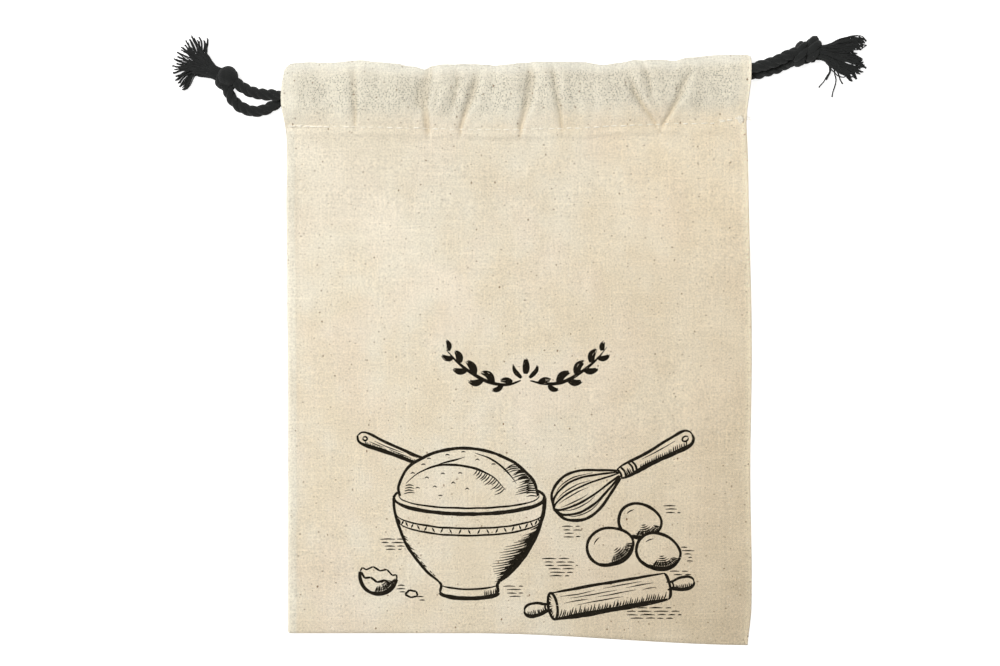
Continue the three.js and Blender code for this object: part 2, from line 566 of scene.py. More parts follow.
def addYarn(shape, points, thin, sway, draw):
    line = spline(points, yarnShape["step"])
    seed = draw.uniform(0, 50)
    last = len(line) - 1
    for i in range(1, len(line)):
        at = i * 0.35
        aside = Vector((ripple(at, seed), ripple(at, seed, 7), 0.5 * ripple(at, seed, 14)))
        line[i] = line[i] + aside * (sway * mm * min(1, i / 6))
        line[i].z = max(line[i].z, thin + 0.05 * mm)

    def radius(i, turn):
        fluff = 1 + 0.18 * ripple(i * 0.9, seed, 3)
        return mix(yarnShape["thick"], thin, (i / last) ** 0.7) * fluff * (1 + 0.3 * (i == last))

    shape.tube(line, yarnShape["sides"], radius)


def addBunch(shape, facts, number, draw):
    neck = Vector(facts["neck"]) * mm
    middle = facts["towards"]
    ahead = level(math.radians(middle))
    first, last = facts["fan"][0][0], facts["fan"][-1][0]
    angle = mix(first, last, (number + draw.uniform(-0.18, 0.18)) / (facts["bunches"] - 1))
    reach = valueAt(facts["fan"], angle) - (number % 2) * draw.uniform(0.2, 2.0)
    off = angle - middle
    lean = off / max(abs(first - middle), abs(last - middle))
    bowed = middle + off * facts["bow"][off > 0]
    bend = draw.gauss(0, facts["bend"]) * mm
    lift = draw.uniform(0.4, 3.4) * mm
    room = math.sqrt(max(0.1, 1 - lean**2))
    for k in range(facts["perBunch"]):
        own = level(math.radians(angle) + math.radians(draw.gauss(0, 0.35)))
        spread = level(math.radians(bowed + draw.gauss(0, 4.2)))
        far = reach * mm * draw.uniform(0.91, 1.02)
        layer = (k + 0.5) / facts["perBunch"] - 0.5 + draw.uniform(-0.1, 0.1)
        start = neck - ahead * 1.5 * mm + leftOf(ahead) * (lean * 0.5 * facts["neckWidth"] * mm)
        start.z += layer * facts["neckHeight"] * mm * room
        leaving = start + ahead * 0.22 * far
        loose = neck + spread * far
        tip = neck + own * far
        tip.z = lift + draw.uniform(0.2, 0.8) * mm
        second = start.lerp(loose, 0.5) + ahead * 0.05 * far
        second.z = mix(start.z, tip.z, 0.5)
        third = start.lerp(loose, facts["together"]) + ahead * 0.03 * far
        third.z = mix(start.z, tip.z, 0.75)
        fourth = third.lerp(tip, 0.55) + leftOf(own) * bend
        fourth.z = mix(third.z, tip.z, 0.6)
        route = [start, leaving, second, third, fourth, tip]
        addYarn(shape, route, yarnShape["thin"], facts["sway"], draw)


def addTassel(name, seed, material):
    facts = tassels[name]
    draw = random.Random(seed)
    shape = Shape()
    for number in range(facts["bunches"]):
        addBunch(shape, facts, number, draw)
    for stray in facts["strays"]:
        route = inMetres([facts["neck"]] + stray)
        addYarn(shape, route, yarnShape["strayTip"], yarnShape["straySway"], draw)
    piece = shape.piece(name + "_yarns", material, "black_cotton")
    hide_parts(name)
    return piece


def addCords(material):
    made = {}
    for seed, name in enumerate(knots):
        made[name] = addKnot(name, 2.0 + seed, material)
    for seed, name in enumerate(tassels):
        made[name] = addTassel(name, 31 + seed, material)
    for seed, (name, facts) in enumerate(strands.items()):
        piece, line = addStrand(name, 1.3 * seed, material)
        carries = []
        if name.endswith("upper"):
            carries = [made[facts["knot"]], made[facts["knot"].replace("knot", "tassel")]]
        length = sum((b - a).length for a, b in zip(line, line[1:]))
        exitPoint = Vector(facts["route"][0]) * mm
        [tuple(p) for p in line]
    print("cords, knots and tassels made")


# The sack: one strip of calico from the raw edge inside the front of the hem, over the mouth, down the front,
# round the bottom and up the back to the raw edge there, sewn to itself at the sides below the hem
sack = {
    "halfWidth": 100.3 * mm,
    "halfHeight": 125.6 * mm,
    "cloth": 0.42 * mm,
    "stitchLine": 97.2 * mm,  # how far up the stitches run, and the middle of the cord at the left
    "cordLine": 0.1102,
    # how far the sides stand out from half the width: place along the sack, reach and amount, in millimetres
    "leftSwells": [(113, 14.5, 2.1), (63, 18, 0.4)],
    "rightSwells": [(120, 16, 0.9), (99, 12, -0.8), (0, 55, 1.8), (-100, 40, 1.7)],
    "leftFoot": 0.4 * mm,  # how far the sides are drawn in towards the bottom
    "rightFoot": 1.1 * mm,
    "bottomLeft": 2.2 * mm,  # how far the bottom stands over half the height at the left
    "bottomDrop": 5.2 * mm,  # and falls from there to the right
    "stitchHeight": 4.3 * mm,
    "crown": 7.3 * mm,  # over the cord, where its strands lie side by side in the hem
    "endCrown": 10.1 * mm,  # at the ends of the hem, where one lies on the other
    "plateau": 3.6 * mm,  # half the width of the crown
    "saddle": 0.25 * mm,  # the dip between the two runs of cord
    "mouthHeight": 5.0 * mm,
    "liningCrown": 5.35 * mm,  # the lining of the front over the cord
    "backLining": (1.1 * mm, 2.0 * mm),  # the lining of the back, at the stitches and over the cord
    "bodyHeight": 2.9 * mm,
    "seamHeight": 1.75 * mm,
    "seamAtHem": 2.3 * mm,
    "seamRoll": 1.5 * mm,
    "foldRadius": 0.65 * mm,
    "allowance": 3.6 * mm,  # cloth turned in along a side seam
    "turnedIn": 9 * mm,  # cloth turned in at the open ends of the hem
    "columnGap": 1.9 * mm,
    "creaseGap": 0.60 * mm,  # between columns where there are creases
    "rowGap": 5.4 * mm,
    "panel": 0.221,  # from the bottom to the stitches
    "puckered": 0.017,  # of the panel under the stitches, which has closer rows
    "puckeredRows": 15,
    "hemRows": 26,
    "hemRowsBehind": 13,
    "lining": [-0.12, 0.0, 0.15, 0.3, 0.45, 0.6, 0.75, 0.9, 1.0],  # rows inside the hem, up from its raw edge
    "edgeRows": [0, 0.25, 0.6, 1.0, 1.6, 3.0],  # rows and columns next to the bottom and the seams
    "edgeColumns": [0, 0.25, 0.6, 1.0, 1.6, 2.4, 3.3, 4.3, 5.6, 7.4],
    # unevenness of the cloth: amount in millimetres, width across and along, seed
    "swell": [(0.38, 0.052, 0.060, 2.2), (0.17, 0.019, 0.026, 6.4), (0.07, 0.008, 0.011, 9.9)],
    "folds": [(0.42, 0.0085, 0.030, 1.7), (0.26, 0.0038, 0.013, 5.1)],
    "crumples": [(0.12, 0.0022, 0.0045, 9.4)],
}
# How far up the mouth stands along the sack, in millimetres
mouthLine = [
    (-104, 124.2), (-96, 124.6), (-88, 125.0), (-78, 125.2), (-69, 126.0), (-61, 125.2), (-53, 124.5),
    (-46, 123.3), (-40.6, 122.3), (-37, 123.9), (-30, 124.2), (-20, 124.3), (-13, 124.1), (-9.5, 123.8),
    (-4, 124.1), (2, 124.9), (8, 125.4), (18, 125.4), (29, 125.3), (37.5, 123.7), (44, 125.1), (52, 126.2),
    (60, 126.3), (68, 125.8), (75, 127.1), (83, 127.9), (92, 128.0), (104, 128.0),
]
# Creases pressed across the hem: half width, depth, and points from the stitches up, in millimetres.
# The cloth right of each rides up over it, so its left side slopes and its right side is steep.
creases = [
    (3.6, 0.34, [(-92.0, 100), (-91.0, 118)]),
    (3.0, 0.36, [(-80.5, 99), (-81.0, 121)]),
    (2.1, 1.15, [(-70.6, 95), (-70.2, 104), (-70.8, 123)]),
    (1.6, 0.62, [(-62.4, 104), (-61.0, 121)]),
    (1.6, 0.62, [(-56.4, 105), (-56.0, 120)]),
    (3.8, 0.75, [(-45.0, 100), (-43.0, 119)]),
    (2.8, 1.75, [(-38.6, 89), (-39.0, 97), (-39.8, 108), (-38.9, 116), (-37.0, 125)]),
    (1.4, 0.85, [(-35.8, 105), (-33.4, 114)]),
    (1.9, 1.10, [(-28.4, 103), (-26.8, 111), (-25.4, 116.6), (-26.8, 123)]),
    (2.2, 1.50, [(-25.0, 90), (-24.4, 97), (-22.4, 103), (-19.4, 110), (-16.8, 120)]),
    (2.3, 0.50, [(-10.0, 99), (-9.0, 112), (-9.4, 124)]),
    (1.8, 0.45, [(-4.5, 106), (-3.5, 121)]),
    (2.6, 1.60, [(1.0, 89), (2.0, 98), (4.4, 106), (6.6, 117), (5.8, 124)]),
    (1.8, 0.50, [(10.6, 103), (11.6, 116)]),
    (1.8, 1.20, [(20.4, 90), (19.4, 99), (18.2, 107), (16.8, 115), (15.4, 124)]),
    (2.4, 0.42, [(26.5, 98), (26.0, 117)]),
    (2.2, 0.45, [(33.6, 101), (33.0, 116)]),
    (1.5, 0.80, [(40.0, 118.6), (42.4, 122), (44.4, 126)]),
    (1.8, 1.60, [(62.0, 94.5), (60.4, 98.6), (56.0, 104.6), (52.0, 111), (49.2, 119)]),
    (1.7, 0.90, [(58.6, 110), (57.4, 118), (54.6, 126)]),
    (2.0, 1.40, [(62.8, 95), (63.8, 98.4), (66.8, 103), (70.8, 110.6), (75.2, 121.4)]),
    (2.4, 0.40, [(79.0, 100), (80.6, 113)]),
    (2.6, 0.50, [(88.2, 99), (90.6, 112), (91.0, 120)]),
]
creases = [(wide * mm, deep, [(y * mm, x * mm) for x, y in line]) for wide, deep, line in creases]


def swells(rows, place):
    return sum(amount * mm * hump(place - at * mm, reach * mm) for at, reach, amount in rows)


def ripples(rows, x, y):
    return sum(amount * ripple(x / wide, y / long, seed) for amount, wide, long, seed in rows)


def corner(depth, reach, inward):
    # how far a rounded corner falls back, at a distance inward from its side
    return depth * (1 - held(inward / reach)) ** 2


def leftEdge(y):
    return -sack["halfWidth"] - swells(sack["leftSwells"], y) + sack["leftFoot"] * smooth(0.02, -0.02, y)


def rightEdge(y):
    drawnIn = sack["rightFoot"] * smooth(-0.110, -sack["halfHeight"], y)
    return sack["halfWidth"] + swells(sack["rightSwells"], y) - drawnIn


def bottomEdge(x):
    rounded = corner(0.8 * mm, 1.2 * mm, x + sack["halfWidth"])
    return -sack["halfHeight"] + sack["bottomLeft"] - sack["bottomDrop"] * smooth(-0.020, 0.105, x) + rounded


def mouthEdge(x):
    rounded = corner(3.9 * mm, 4.4 * mm, x + 0.1020) + corner(0.7 * mm, 1.4 * mm, 0.1008 - x)
    wave = 0.22 * mm * ripple(x / 0.0075, 3.7)
    return valueAt(mouthLine, x / mm) * mm - rounded + wave


def stitchEdge(x):
    dip = 1.3 * mm * hump(x + 0.010, 0.042)
    return sack["stitchLine"] - dip + 1.4 * mm * smooth(0.020, 0.075, x) + 2.2 * mm * smooth(0.082, 0.100, x)


def cordMiddle(x):
    return sack["cordLine"] + 1.2 * mm * smooth(-0.09, 0.0, x) + 9.6 * mm * smooth(0.060, 0.100, x)


def pinched(x, y):
    # how deep the creases are at a point of the front, with the ridge that each pushes up on its right
    total = 0.0
    for wide, deep, line in creases:
        low, high = line[0][0], line[-1][0]
        if not low - 0.006 < y < high + 0.004:
            continue
        aside = (x - valueAt(line, y, False)) / wide
        if abs(aside) > 6:
            continue
        over = y - stitchEdge(x)
        strength = smooth(low - 0.006, low + 0.005, y) * smooth(high + 0.004, high - 0.006, y)
        strength *= math.exp(min(0.0, over) / 0.0038)
        narrow = mix(0.48, 1.0, smooth(-0.002, 0.014, over))
        aside /= narrow
        groove = hump(aside, 1.15 if aside < 0 else 0.62)
        ridge = 0.42 * hump(aside - 1.75, 1.2) + 0.20 * hump(aside + 2.5, 1.5)
        ridge *= smooth(-0.001, 0.012, over)
        total += deep * strength * mix(0.75, 1.0, narrow) * (groove - ridge)
    return total * mm


def crumple(x, y):
    # the small unevenness of soft cloth over the cord
    over = smooth(-0.002, 0.007, y - stitchEdge(x))
    lean = x - 0.25 * (y - 0.110) * ripple(x / 0.03, 8.0)
    return over * (ripples(sack["folds"], lean, y) + ripples(sack["crumples"], x, y)) * mm


def hemHeight(x, y):
    # the front of the hem: up from the stitches to the level crown over the cord, and down to the mouth
    stitch, middle = stitchEdge(x), cordMiddle(x)
    crown = mix(sack["crown"], sack["endCrown"], smooth(0.084, 0.0985, abs(x)))
    if y < middle:
        ramp = (stitch - 4 * mm, middle - sack["plateau"])
        start = smooth(*ramp, stitch)
        return mix(sack["stitchHeight"], crown, (smooth(*ramp, y) - start) / (1 - start))
    down = smooth(middle + sack["plateau"], mouthEdge(x) + 1.5 * mm, y)
    return mix(sack["mouthHeight"], crown, (1 - down) ** 0.7)


def frontOuter(x, y):
    if y < stitchEdge(x):
        return bodyFront(x, y)
    saddle = sack["saddle"] * hump(y - cordMiddle(x), 0.0026)
    return hemHeight(x, y) - saddle - pinched(x, y) + crumple(x, y)


def fromSeams(x, y):
    return min(x - leftEdge(y), rightEdge(y) - x)


def rolled(x, y):
    # 0 on the seams to 1 where the panel lies level
    roll = held(fromSeams(x, y) / sack["seamRoll"])
    foot = held((y - bottomEdge(x)) / sack["seamRoll"])
    return math.sqrt(1 - (1 - roll) ** 2) * math.sqrt(1 - (1 - foot) ** 2)


def seamHeight(x, y):
    return mix(sack["seamHeight"], sack["seamAtHem"], 1 - smooth(0, 0.025, stitchEdge(x) - y))


def bodyFront(x, y):
    below = stitchEdge(x) - y
    flat = mix(sack["bodyHeight"], sack["stitchHeight"], 1 - smooth(0, 0.045, below))
    # the step where the hem's raw edge ends inside, and the small puckers under the stitches
    ledge = 0.5 * smooth(0.0038, 0.0048, below + 0.6 * mm * ripple(x / 0.02, 5.5))
    pucker = 0.26 * ripple(x / 0.0036, 4.4) * math.exp(-below / 0.005)
    pucker += 0.55 * ripple(x / 0.0105, 1.1, y / 0.04) * math.exp(-below / 0.013)
    doubled = 1 - smooth(sack["allowance"] - 0.5 * mm, sack["allowance"] + 0.9 * mm, fromSeams(x, y))
    seams = mix(0.26, 0.12, smooth(-0.05, 0.05, x)) * doubled
    height = flat + (ripples(sack["swell"], x, y) - ledge + pucker + seams) * mm - pinched(x, y)
    return mix(seamHeight(x, y), height, rolled(x, y))


def bodyBack(x, y):
    lifted = (0.30 + 0.12 * (1 + ripple(x / 0.045, y / 0.05, 12.0))) * mm
    return mix(seamHeight(x, y), lifted, rolled(x, y))


def liningRise(x, y, fall):
    # 0 at the stitches to 1 over the cord, less the share by which the lining falls again to the mouth
    middle = cordMiddle(x)
    return smooth(stitchEdge(x), middle - 0.0045, y) * (1 - fall * smooth(middle + 0.004, mouthEdge(x), y))


def frontInner(x, y):
    low = frontOuter(x, max(y, stitchEdge(x))) - 0.5 * mm
    lifted = mix(sack["stitchHeight"] - 0.6 * mm, sack["liningCrown"], liningRise(x, y, 0.55))
    return min(low, lifted - 0.25 * pinched(x, y))


def backInner(x, y):
    return mix(*sack["backLining"], liningRise(x, y, 0.75))


def backOuter(x, y):
    if y < stitchEdge(x):
        return bodyBack(x, y)
    return (0.34 + 0.14 * (1 + ripple(x / 0.009, y / 0.03, 21.0))) * mm


def columnShares():
    # shares of the way from the left seam to the right one, close together at both and across the creases
    near = [d * mm for d in sack["edgeColumns"]]
    places = [near[-1] - sack["halfWidth"]]
    while places[-1] < sack["halfWidth"] - near[-1]:
        creased = 0.0
        for _, deep, line in creases:
            if deep > 0.9:
                reached = [x for _, x in line]
                outside = max(min(reached) - places[-1], places[-1] - max(reached), 0)
                creased = max(creased, smooth(0.005, 0.002, outside))
        places.append(places[-1] + mix(sack["columnGap"], sack["creaseGap"], creased))
    width = 2 * sack["halfWidth"]
    stretch = (width - 2 * near[-1]) / (places[-1] - places[0])
    middle = [near[-1] + (p - places[0]) * stretch for p in places[1:-1]]
    return [p / width for p in near + middle + [width - d for d in reversed(near)]]


def rowShares():
    # shares of the way from the bottom to the stitches, close together at both
    length = sack["panel"]
    near = [d * mm for d in sack["edgeRows"]]
    fineFrom = length - sack["puckered"]
    count = round((fineFrom - near[-1]) / sack["rowGap"])
    middle = [mix(near[-1], fineFrom, i / count) for i in range(1, count + 1)]
    count = sack["puckeredRows"]
    fine = [mix(fineFrom, length, i / count) for i in range(1, count + 1)]
    return [p / length for p in near + middle + fine]


def across(y, u, inset=0.0):
    # u runs from the left edge to the right one
    return mix(leftEdge(y) + inset, rightEdge(y) - inset, u)


def bodyPoint(u, share, height):
    # share runs from the bottom to the stitches
    x = across(mix(-sack["halfHeight"], sack["stitchLine"], share), u)
    y = mix(bottomEdge(x), stitchEdge(x), share)
    return Vector((x, y, height(x, y)))


def hemPoint(u, share, height, back=False):
    # share runs from the stitches to the mouth; the back is a little narrower and shorter
    inset = 0.9 * mm * smooth(0, 0.25, share) if back else 0.0
    x = across(mix(sack["stitchLine"], sack["halfHeight"], share), u, inset)
    top = mouthEdge(x) - sack["foldRadius"] - (1.0 * mm + 0.5 * mm * ripple(x / 0.02, 8.8) if back else 0.0)
    y = mix(stitchEdge(x), top, share)
    return Vector((x, y, height(x, y)))


def turnedOver(first, last):
    # the cloth turning over between two rows that face each other
    turned = []
    for share in (0.2, 0.4, 0.6, 0.8):
        turn = math.pi * share
        row = []
        for a, b in zip(first, last):
            middle = (a + b) / 2
            half = (a - b) / 2
            out = Vector((0, min(abs(half.z), 1.1 * sack["foldRadius"]), 0))
            row.append(middle + half * math.cos(turn) + out * math.sin(turn))
        turned.append(row)
    return turned


def layStrip(shares, rows):
    # the strip's rows of points in turn, and the first and last of each of its parts
    hem, hemBehind = sack["hemRows"], sack["hemRowsBehind"]
    lining = sack["lining"]

    def laid(place, steps, *how):
        return [[place(u, share, *how) for u in shares] for share in steps]

    parts = {
        "frontLining": laid(hemPoint, lining, frontInner),
        "frontFold": [],
        "frontHem": laid(hemPoint, [i / hem for i in range(hem, -1, -1)], frontOuter),
        "front": laid(bodyPoint, reversed(rows[:-1]), bodyFront),
        "back": laid(bodyPoint, rows[:-1], bodyBack),
        "backHem": laid(hemPoint, [i / hemBehind for i in range(hemBehind + 1)], backOuter, True),
        "backFold": [],
        "backLining": laid(hemPoint, reversed(lining), backInner, True),
    }
    parts["frontFold"] = turnedOver(parts["frontLining"][-1], parts["frontHem"][0])
    parts["backFold"] = turnedOver(parts["backHem"][-1], parts["backLining"][0])
    strip = []
    spans = {}
    for name, part in parts.items():
        spans[name] = (len(strip), len(strip) + len(part))
        strip += part
    return strip, spans


def sewn(strip, spans, seamRows):
    # the number of each point's vertex, shared where the sides are sewn and where the bottom is folded
    width = len(strip[0])
    index = [[i * width + j for j in range(width)] for i in range(len(strip))]
    lastFront = spans["front"][1] - 1
    firstBack = spans["back"][0]
    for i in range(seamRows):  # a row of the back ends where the row of the front at its share ends
        for j in (0, -1):
            index[firstBack + i][j] = index[lastFront - i][j]
    index[firstBack] = list(index[lastFront])
    return index


def turnIn(shape, strip, index, shares, first, last, side):
    # cloth turned in at one open end of the hem, lying against its inner face
    reach = sack["turnedIn"] / (2 * sack["halfWidth"])
    columns = [0] + [j for j in range(1, len(shares) // 2) if shares[j] < reach]
    if side < 0:
        columns = [len(shares) - 1 - j for j in columns]
    own = []
    for i in range(first, last):
        line = [index[i][columns[0]]]
        for j in columns[1:]:
            above, below = strip[max(i - 1, first)][j], strip[min(i + 1, last - 1)][j]
            normal = (strip[i][j + side] - strip[i][j - side]).cross(below - above) * side
            line.append(len(shape.vertices))
            shape.vertices.append(strip[i][j] + normal.normalized() * (sack["cloth"] + 0.08 * mm))
        own.append(line)
    for a, b in zip(own, own[1:]):
        for j in range(len(a) - 1):
            face = (a[j], b[j], b[j + 1], a[j + 1])
            shape.faces.append(face if side > 0 else tuple(reversed(face)))


def thicken(piece, thickness):
    modifier = piece.modifiers.new("thickness", "SOLIDIFY")
    modifier.thickness = thickness
    modifier.offset = 0
    modifier.use_rim = True
    shown = piece.evaluated_get(bpy.context.evaluated_depsgraph_get())
    mesh = bpy.data.meshes.new_from_object(shown)
    piece.modifiers.clear()
    piece.data = mesh


def addSack(material):
    shares = columnShares()
    rows = rowShares()
    strip, spans = layStrip(shares, rows)
    index = sewn(strip, spans, len(rows) - 3)
    shape = Shape()
    shape.vertices = [point for row in strip for point in row]
    for above, below in zip(index, index[1:]):
        for j in range(len(shares) - 1):
            corners = [above[j], above[j + 1], below[j + 1], below[j]]
            face = [c for k, c in enumerate(corners) if c not in corners[:k]]
            if len(face) > 2:
                shape.faces.append(face)
    openEnds = (
        (spans["frontLining"][0] + 1, spans["frontHem"][1]),
        (spans["backHem"][0], spans["backLining"][1] - 1),
    )
    for first, last in openEnds:
        for side in (1, -1):
            turnIn(shape, strip, index, shares, first, last, side)
    shape.faces = [tuple(reversed(f)) for f in shape.faces]
    piece = shape.piece("sack_cloth", material, "calico")
    thicken(piece, sack["cloth"])
    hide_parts("sack")
    print("sack made", len(piece.data.polygons), "faces")
    return piece


def markDistances(piece):
    # how far each point lies in from the side seams, over the stitches and under the mouth, and how deep in a
    # crease, in millimetres, for the cloth's colour
    places = [v.co for v in piece.data.vertices]
    marks = {
        "fromSide": [fromSeams(p.x, p.y) / mm for p in places],
        "overStitches": [(p.y - stitchEdge(p.x)) / mm for p in places],
        "fromMouth": [(mouthEdge(p.x) - p.y) / mm for p in places],
        "pinched": [pinched(p.x, p.y) / mm for p in places],
    }
    for name, values in marks.items():
        piece.data.attributes.new(name, "FLOAT", "POINT").data.foreach_set("value", values)


# Stitches: one row of lockstitch under the hem, front and back, with backtacks and loose thread at both ends
stitching = {
    "seed": 5,
    "length": 2.9 * mm,
    "pitch": 3.9 * mm,
    "radius": 0.29 * mm,
    "sides": 8,
    "steps": 8,  # along each stitch
    "backtacks": [("left", 6, 2.9), ("right", 3, 3.6)],  # how many stitches are sewn over again, their pitch
    "looseRadius": 0.12 * mm,
    "looseStep": 0.4 * mm,
    "looseSides": 6,
    # loose tails of thread, point by point
    "tails": [
        [
            (-98.4, 97.6, 2.4), (-101.2, 98.3, 2.6), (-103.2, 97.4, 2.2), (-104.8, 98.2, 1.6),
            (-105.9, 97.3, 1.2),
        ],
        [(-99.0, 97.2, 2.4), (-101.0, 96.4, 2.5), (-102.6, 96.8, 2.0), (-103.9, 95.9, 1.4)],
        [(98.2, 100.8, 3.6), (99.6, 101.8, 3.9), (101.0, 101.2, 3.4), (102.2, 102.0, 2.8)],
        [(98.0, 101.2, 3.6), (99.2, 100.1, 3.9), (100.6, 100.6, 3.4), (102.4, 99.9, 2.2)],
    ],
    # where thread lies tangled: place, how far it reaches across and along, how many turns
    "tangles": [((97.0, 100.4), (1.5, 2.1), 20), ((-99.2, 97.4), (1.8, 0.7), 6)],
}


def surfaceFinder(piece):
    # the height of the cloth's front and back at a place
    tree = BVHTree.FromObject(piece, bpy.context.evaluated_depsgraph_get())

    def height(x, y, side):
        place = tree.ray_cast(Vector((x, y, 0.05 * side)), Vector((0, 0, -side)))[0]
        return place.z if place else None

    return lambda x, y: height(x, y, 1), lambda x, y: height(x, y, -1)


def sewStitch(shape, start, finish, height, radius, rise):
    # a thread from one needle hole to the next, dipping into the cloth at both
    steps = stitching["steps"]
    line = []
    for i in range(steps + 1):
        t = i / steps
        x, y = mix(start[0], finish[0], t), mix(start[1], finish[1], t)
        top = height(x, y)
        if top is None:
            return
        arch = 1 - (2 * t - 1) ** 4
        line.append(Vector((x, y, top + rise * radius * (1.7 * arch - 1.0))))

    def thickness(i, turn):
        tapered = 0.55 + 0.45 * math.sin(math.pi * i / steps) ** 0.4
        return radius * tapered * (1 + 0.1 * math.cos(3 * turn + 1.6 * i))

    shape.tube(line, stitching["sides"], thickness)


def tangled(place, reach, turns, front, draw):
    line = []
    for i in range(turns * 5):
        turn = i * 2 * math.pi / 5 + draw.uniform(-0.4, 0.4)
        out = draw.uniform(0.05, 1.0)
        x = (place[0] + reach[0] * out * math.cos(turn)) * mm
        y = (place[1] + reach[1] * out * math.sin(turn)) * mm
        x = min(max(x, leftEdge(y) + 1.2 * mm), rightEdge(y) - 1.2 * mm)
        line.append(Vector((x, y, front(x, y) + draw.uniform(0.1, 0.75) * mm)))
    return line


def addStitches(front, back, material):
    draw = random.Random(stitching["seed"])
    shape = Shape()
    long, radius = stitching["length"], stitching["radius"]
    left, right = leftEdge(sack["stitchLine"]) + 1.2 * mm, rightEdge(0.1) - 1.6 * mm
    count = int((right - left) / stitching["pitch"])
    for i in range(count + 1):
        x = left + (right - left) * i / (count + 0.7) + draw.uniform(-0.25, 0.25) * mm
        far = x + long * draw.uniform(0.62, 1.08)
        jog = draw.uniform(-0.12, 0.12) * mm
        start, finish = (x, stitchEdge(x) + jog), (far, stitchEdge(far) + jog)
        thick = radius * draw.uniform(0.62, 1.25)
        sewStitch(shape, start, finish, front, thick, draw.uniform(0.7, 1.2))
        sewStitch(shape, start, finish, back, radius * 0.9, -1)
    for side, number, pitch in stitching["backtacks"]:
        edge, inward = (left, 1) if side == "left" else (right, -1)
        for i in range(number):
            x = edge + inward * (0.6 * mm + i * pitch * mm)
            y = stitchEdge(x) + draw.uniform(-0.15, 0.35) * mm
            finish = (x + inward * long, y + draw.uniform(-0.3, 0.3) * mm)
            sewStitch(shape, (x, y), finish, front, radius * draw.uniform(0.85, 1.35), 1.2)
    loose = [inMetres(tail) for tail in stitching["tails"]]
    loose += [tangled(*facts, front, draw) for facts in stitching["tangles"]]
    for points in loose:
        line = spline(points, stitching["looseStep"])
        shape.tube(line, stitching["looseSides"], lambda i, turn: stitching["looseRadius"])
    shape.piece("hem_stitches", material, "stitching")
    print("stitches made")


# The print: a brushed flourish over a pen drawing of things for baking, in millimetres on the front of the
# sack. Its ink is a thin closed ribbon for each stroke, which lies on the cloth and follows it.
ink = {
    "step": 0.6,
    "proud": 0.045 * mm,
    "sunk": 0.12 * mm,
    "thinnest": 0.09,  # half the width of a stroke at its thinnest
    # widths of the pen: for outlines, for lines within them and for shading
    "contour": 1.3,
    "line": 0.85,
    "shade": 0.5,
}
# Where each thing stands, and its tilt in degrees
picture = {
    "seed": 17,
    "bowl": (-21, -64.5),  # the middle of its rim
    "spoon": (-31, -53.0, 158),
    "pin": (40.0, -107.4, 10),
    "eggs": [(40.5, -85.5, 10.2, 8.0, 14), (61.5, -87.8, 9.8, 7.6, -16), (53.5, -74.6, 9.4, 7.4, -10)],
    "whisk": (44.0, -54.3, 28),
    "shell": (-60.5, -98.0, -12),
    # shade on the table: place, width and rows
    "dashes": [
        (-6.5, -103.0, 9.5, 4), (10.0, -91.0, 17.0, 6), (66.0, -96.5, 10.0, 2), (71.0, -86.0, 6.0, 5),
        (18.0, -77.0, 10.0, 4), (46.0, -112.5, 26.0, 4), (-60.0, -82.5, 11.0, 4), (62.5, -68.0, 9.0, 3),
    ],
}


def flatLine(points, step):
    return spline([Vector((*p, 0)) for p in points], step)


def inside(x, y, outline):
    within = False
    before = outline[-1]
    for point in outline:
        if (point[1] > y) != (before[1] > y):
            if x < (before[0] - point[0]) * (y - point[1]) / (before[1] - point[1]) + point[0]:
                within = not within
        before = point
    return within


def placed(points, x, y, tilt=0):
    # points of a thing drawn level at the origin, turned and put in its place
    lean = math.radians(tilt)
    put = []
    for a, b in points:
        put.append((x + a * math.cos(lean) - b * math.sin(lean), y + a * math.sin(lean) + b * math.cos(lean)))
    return put


def mirrored(points):
    return [(a, -b) for a, b in points]


def oval(x, y, wide, high, start=0, end=360, tilt=0):
    # points round an ellipse, from one angle to another in degrees
    count = max(6, round(abs(end - start) / 18))
    points = []
    for i in range(count + 1):
        turn = math.radians(mix(start, end, i / count))
        points.append((wide * math.cos(turn), high * math.sin(turn)))
    return placed(points, x, y, tilt)


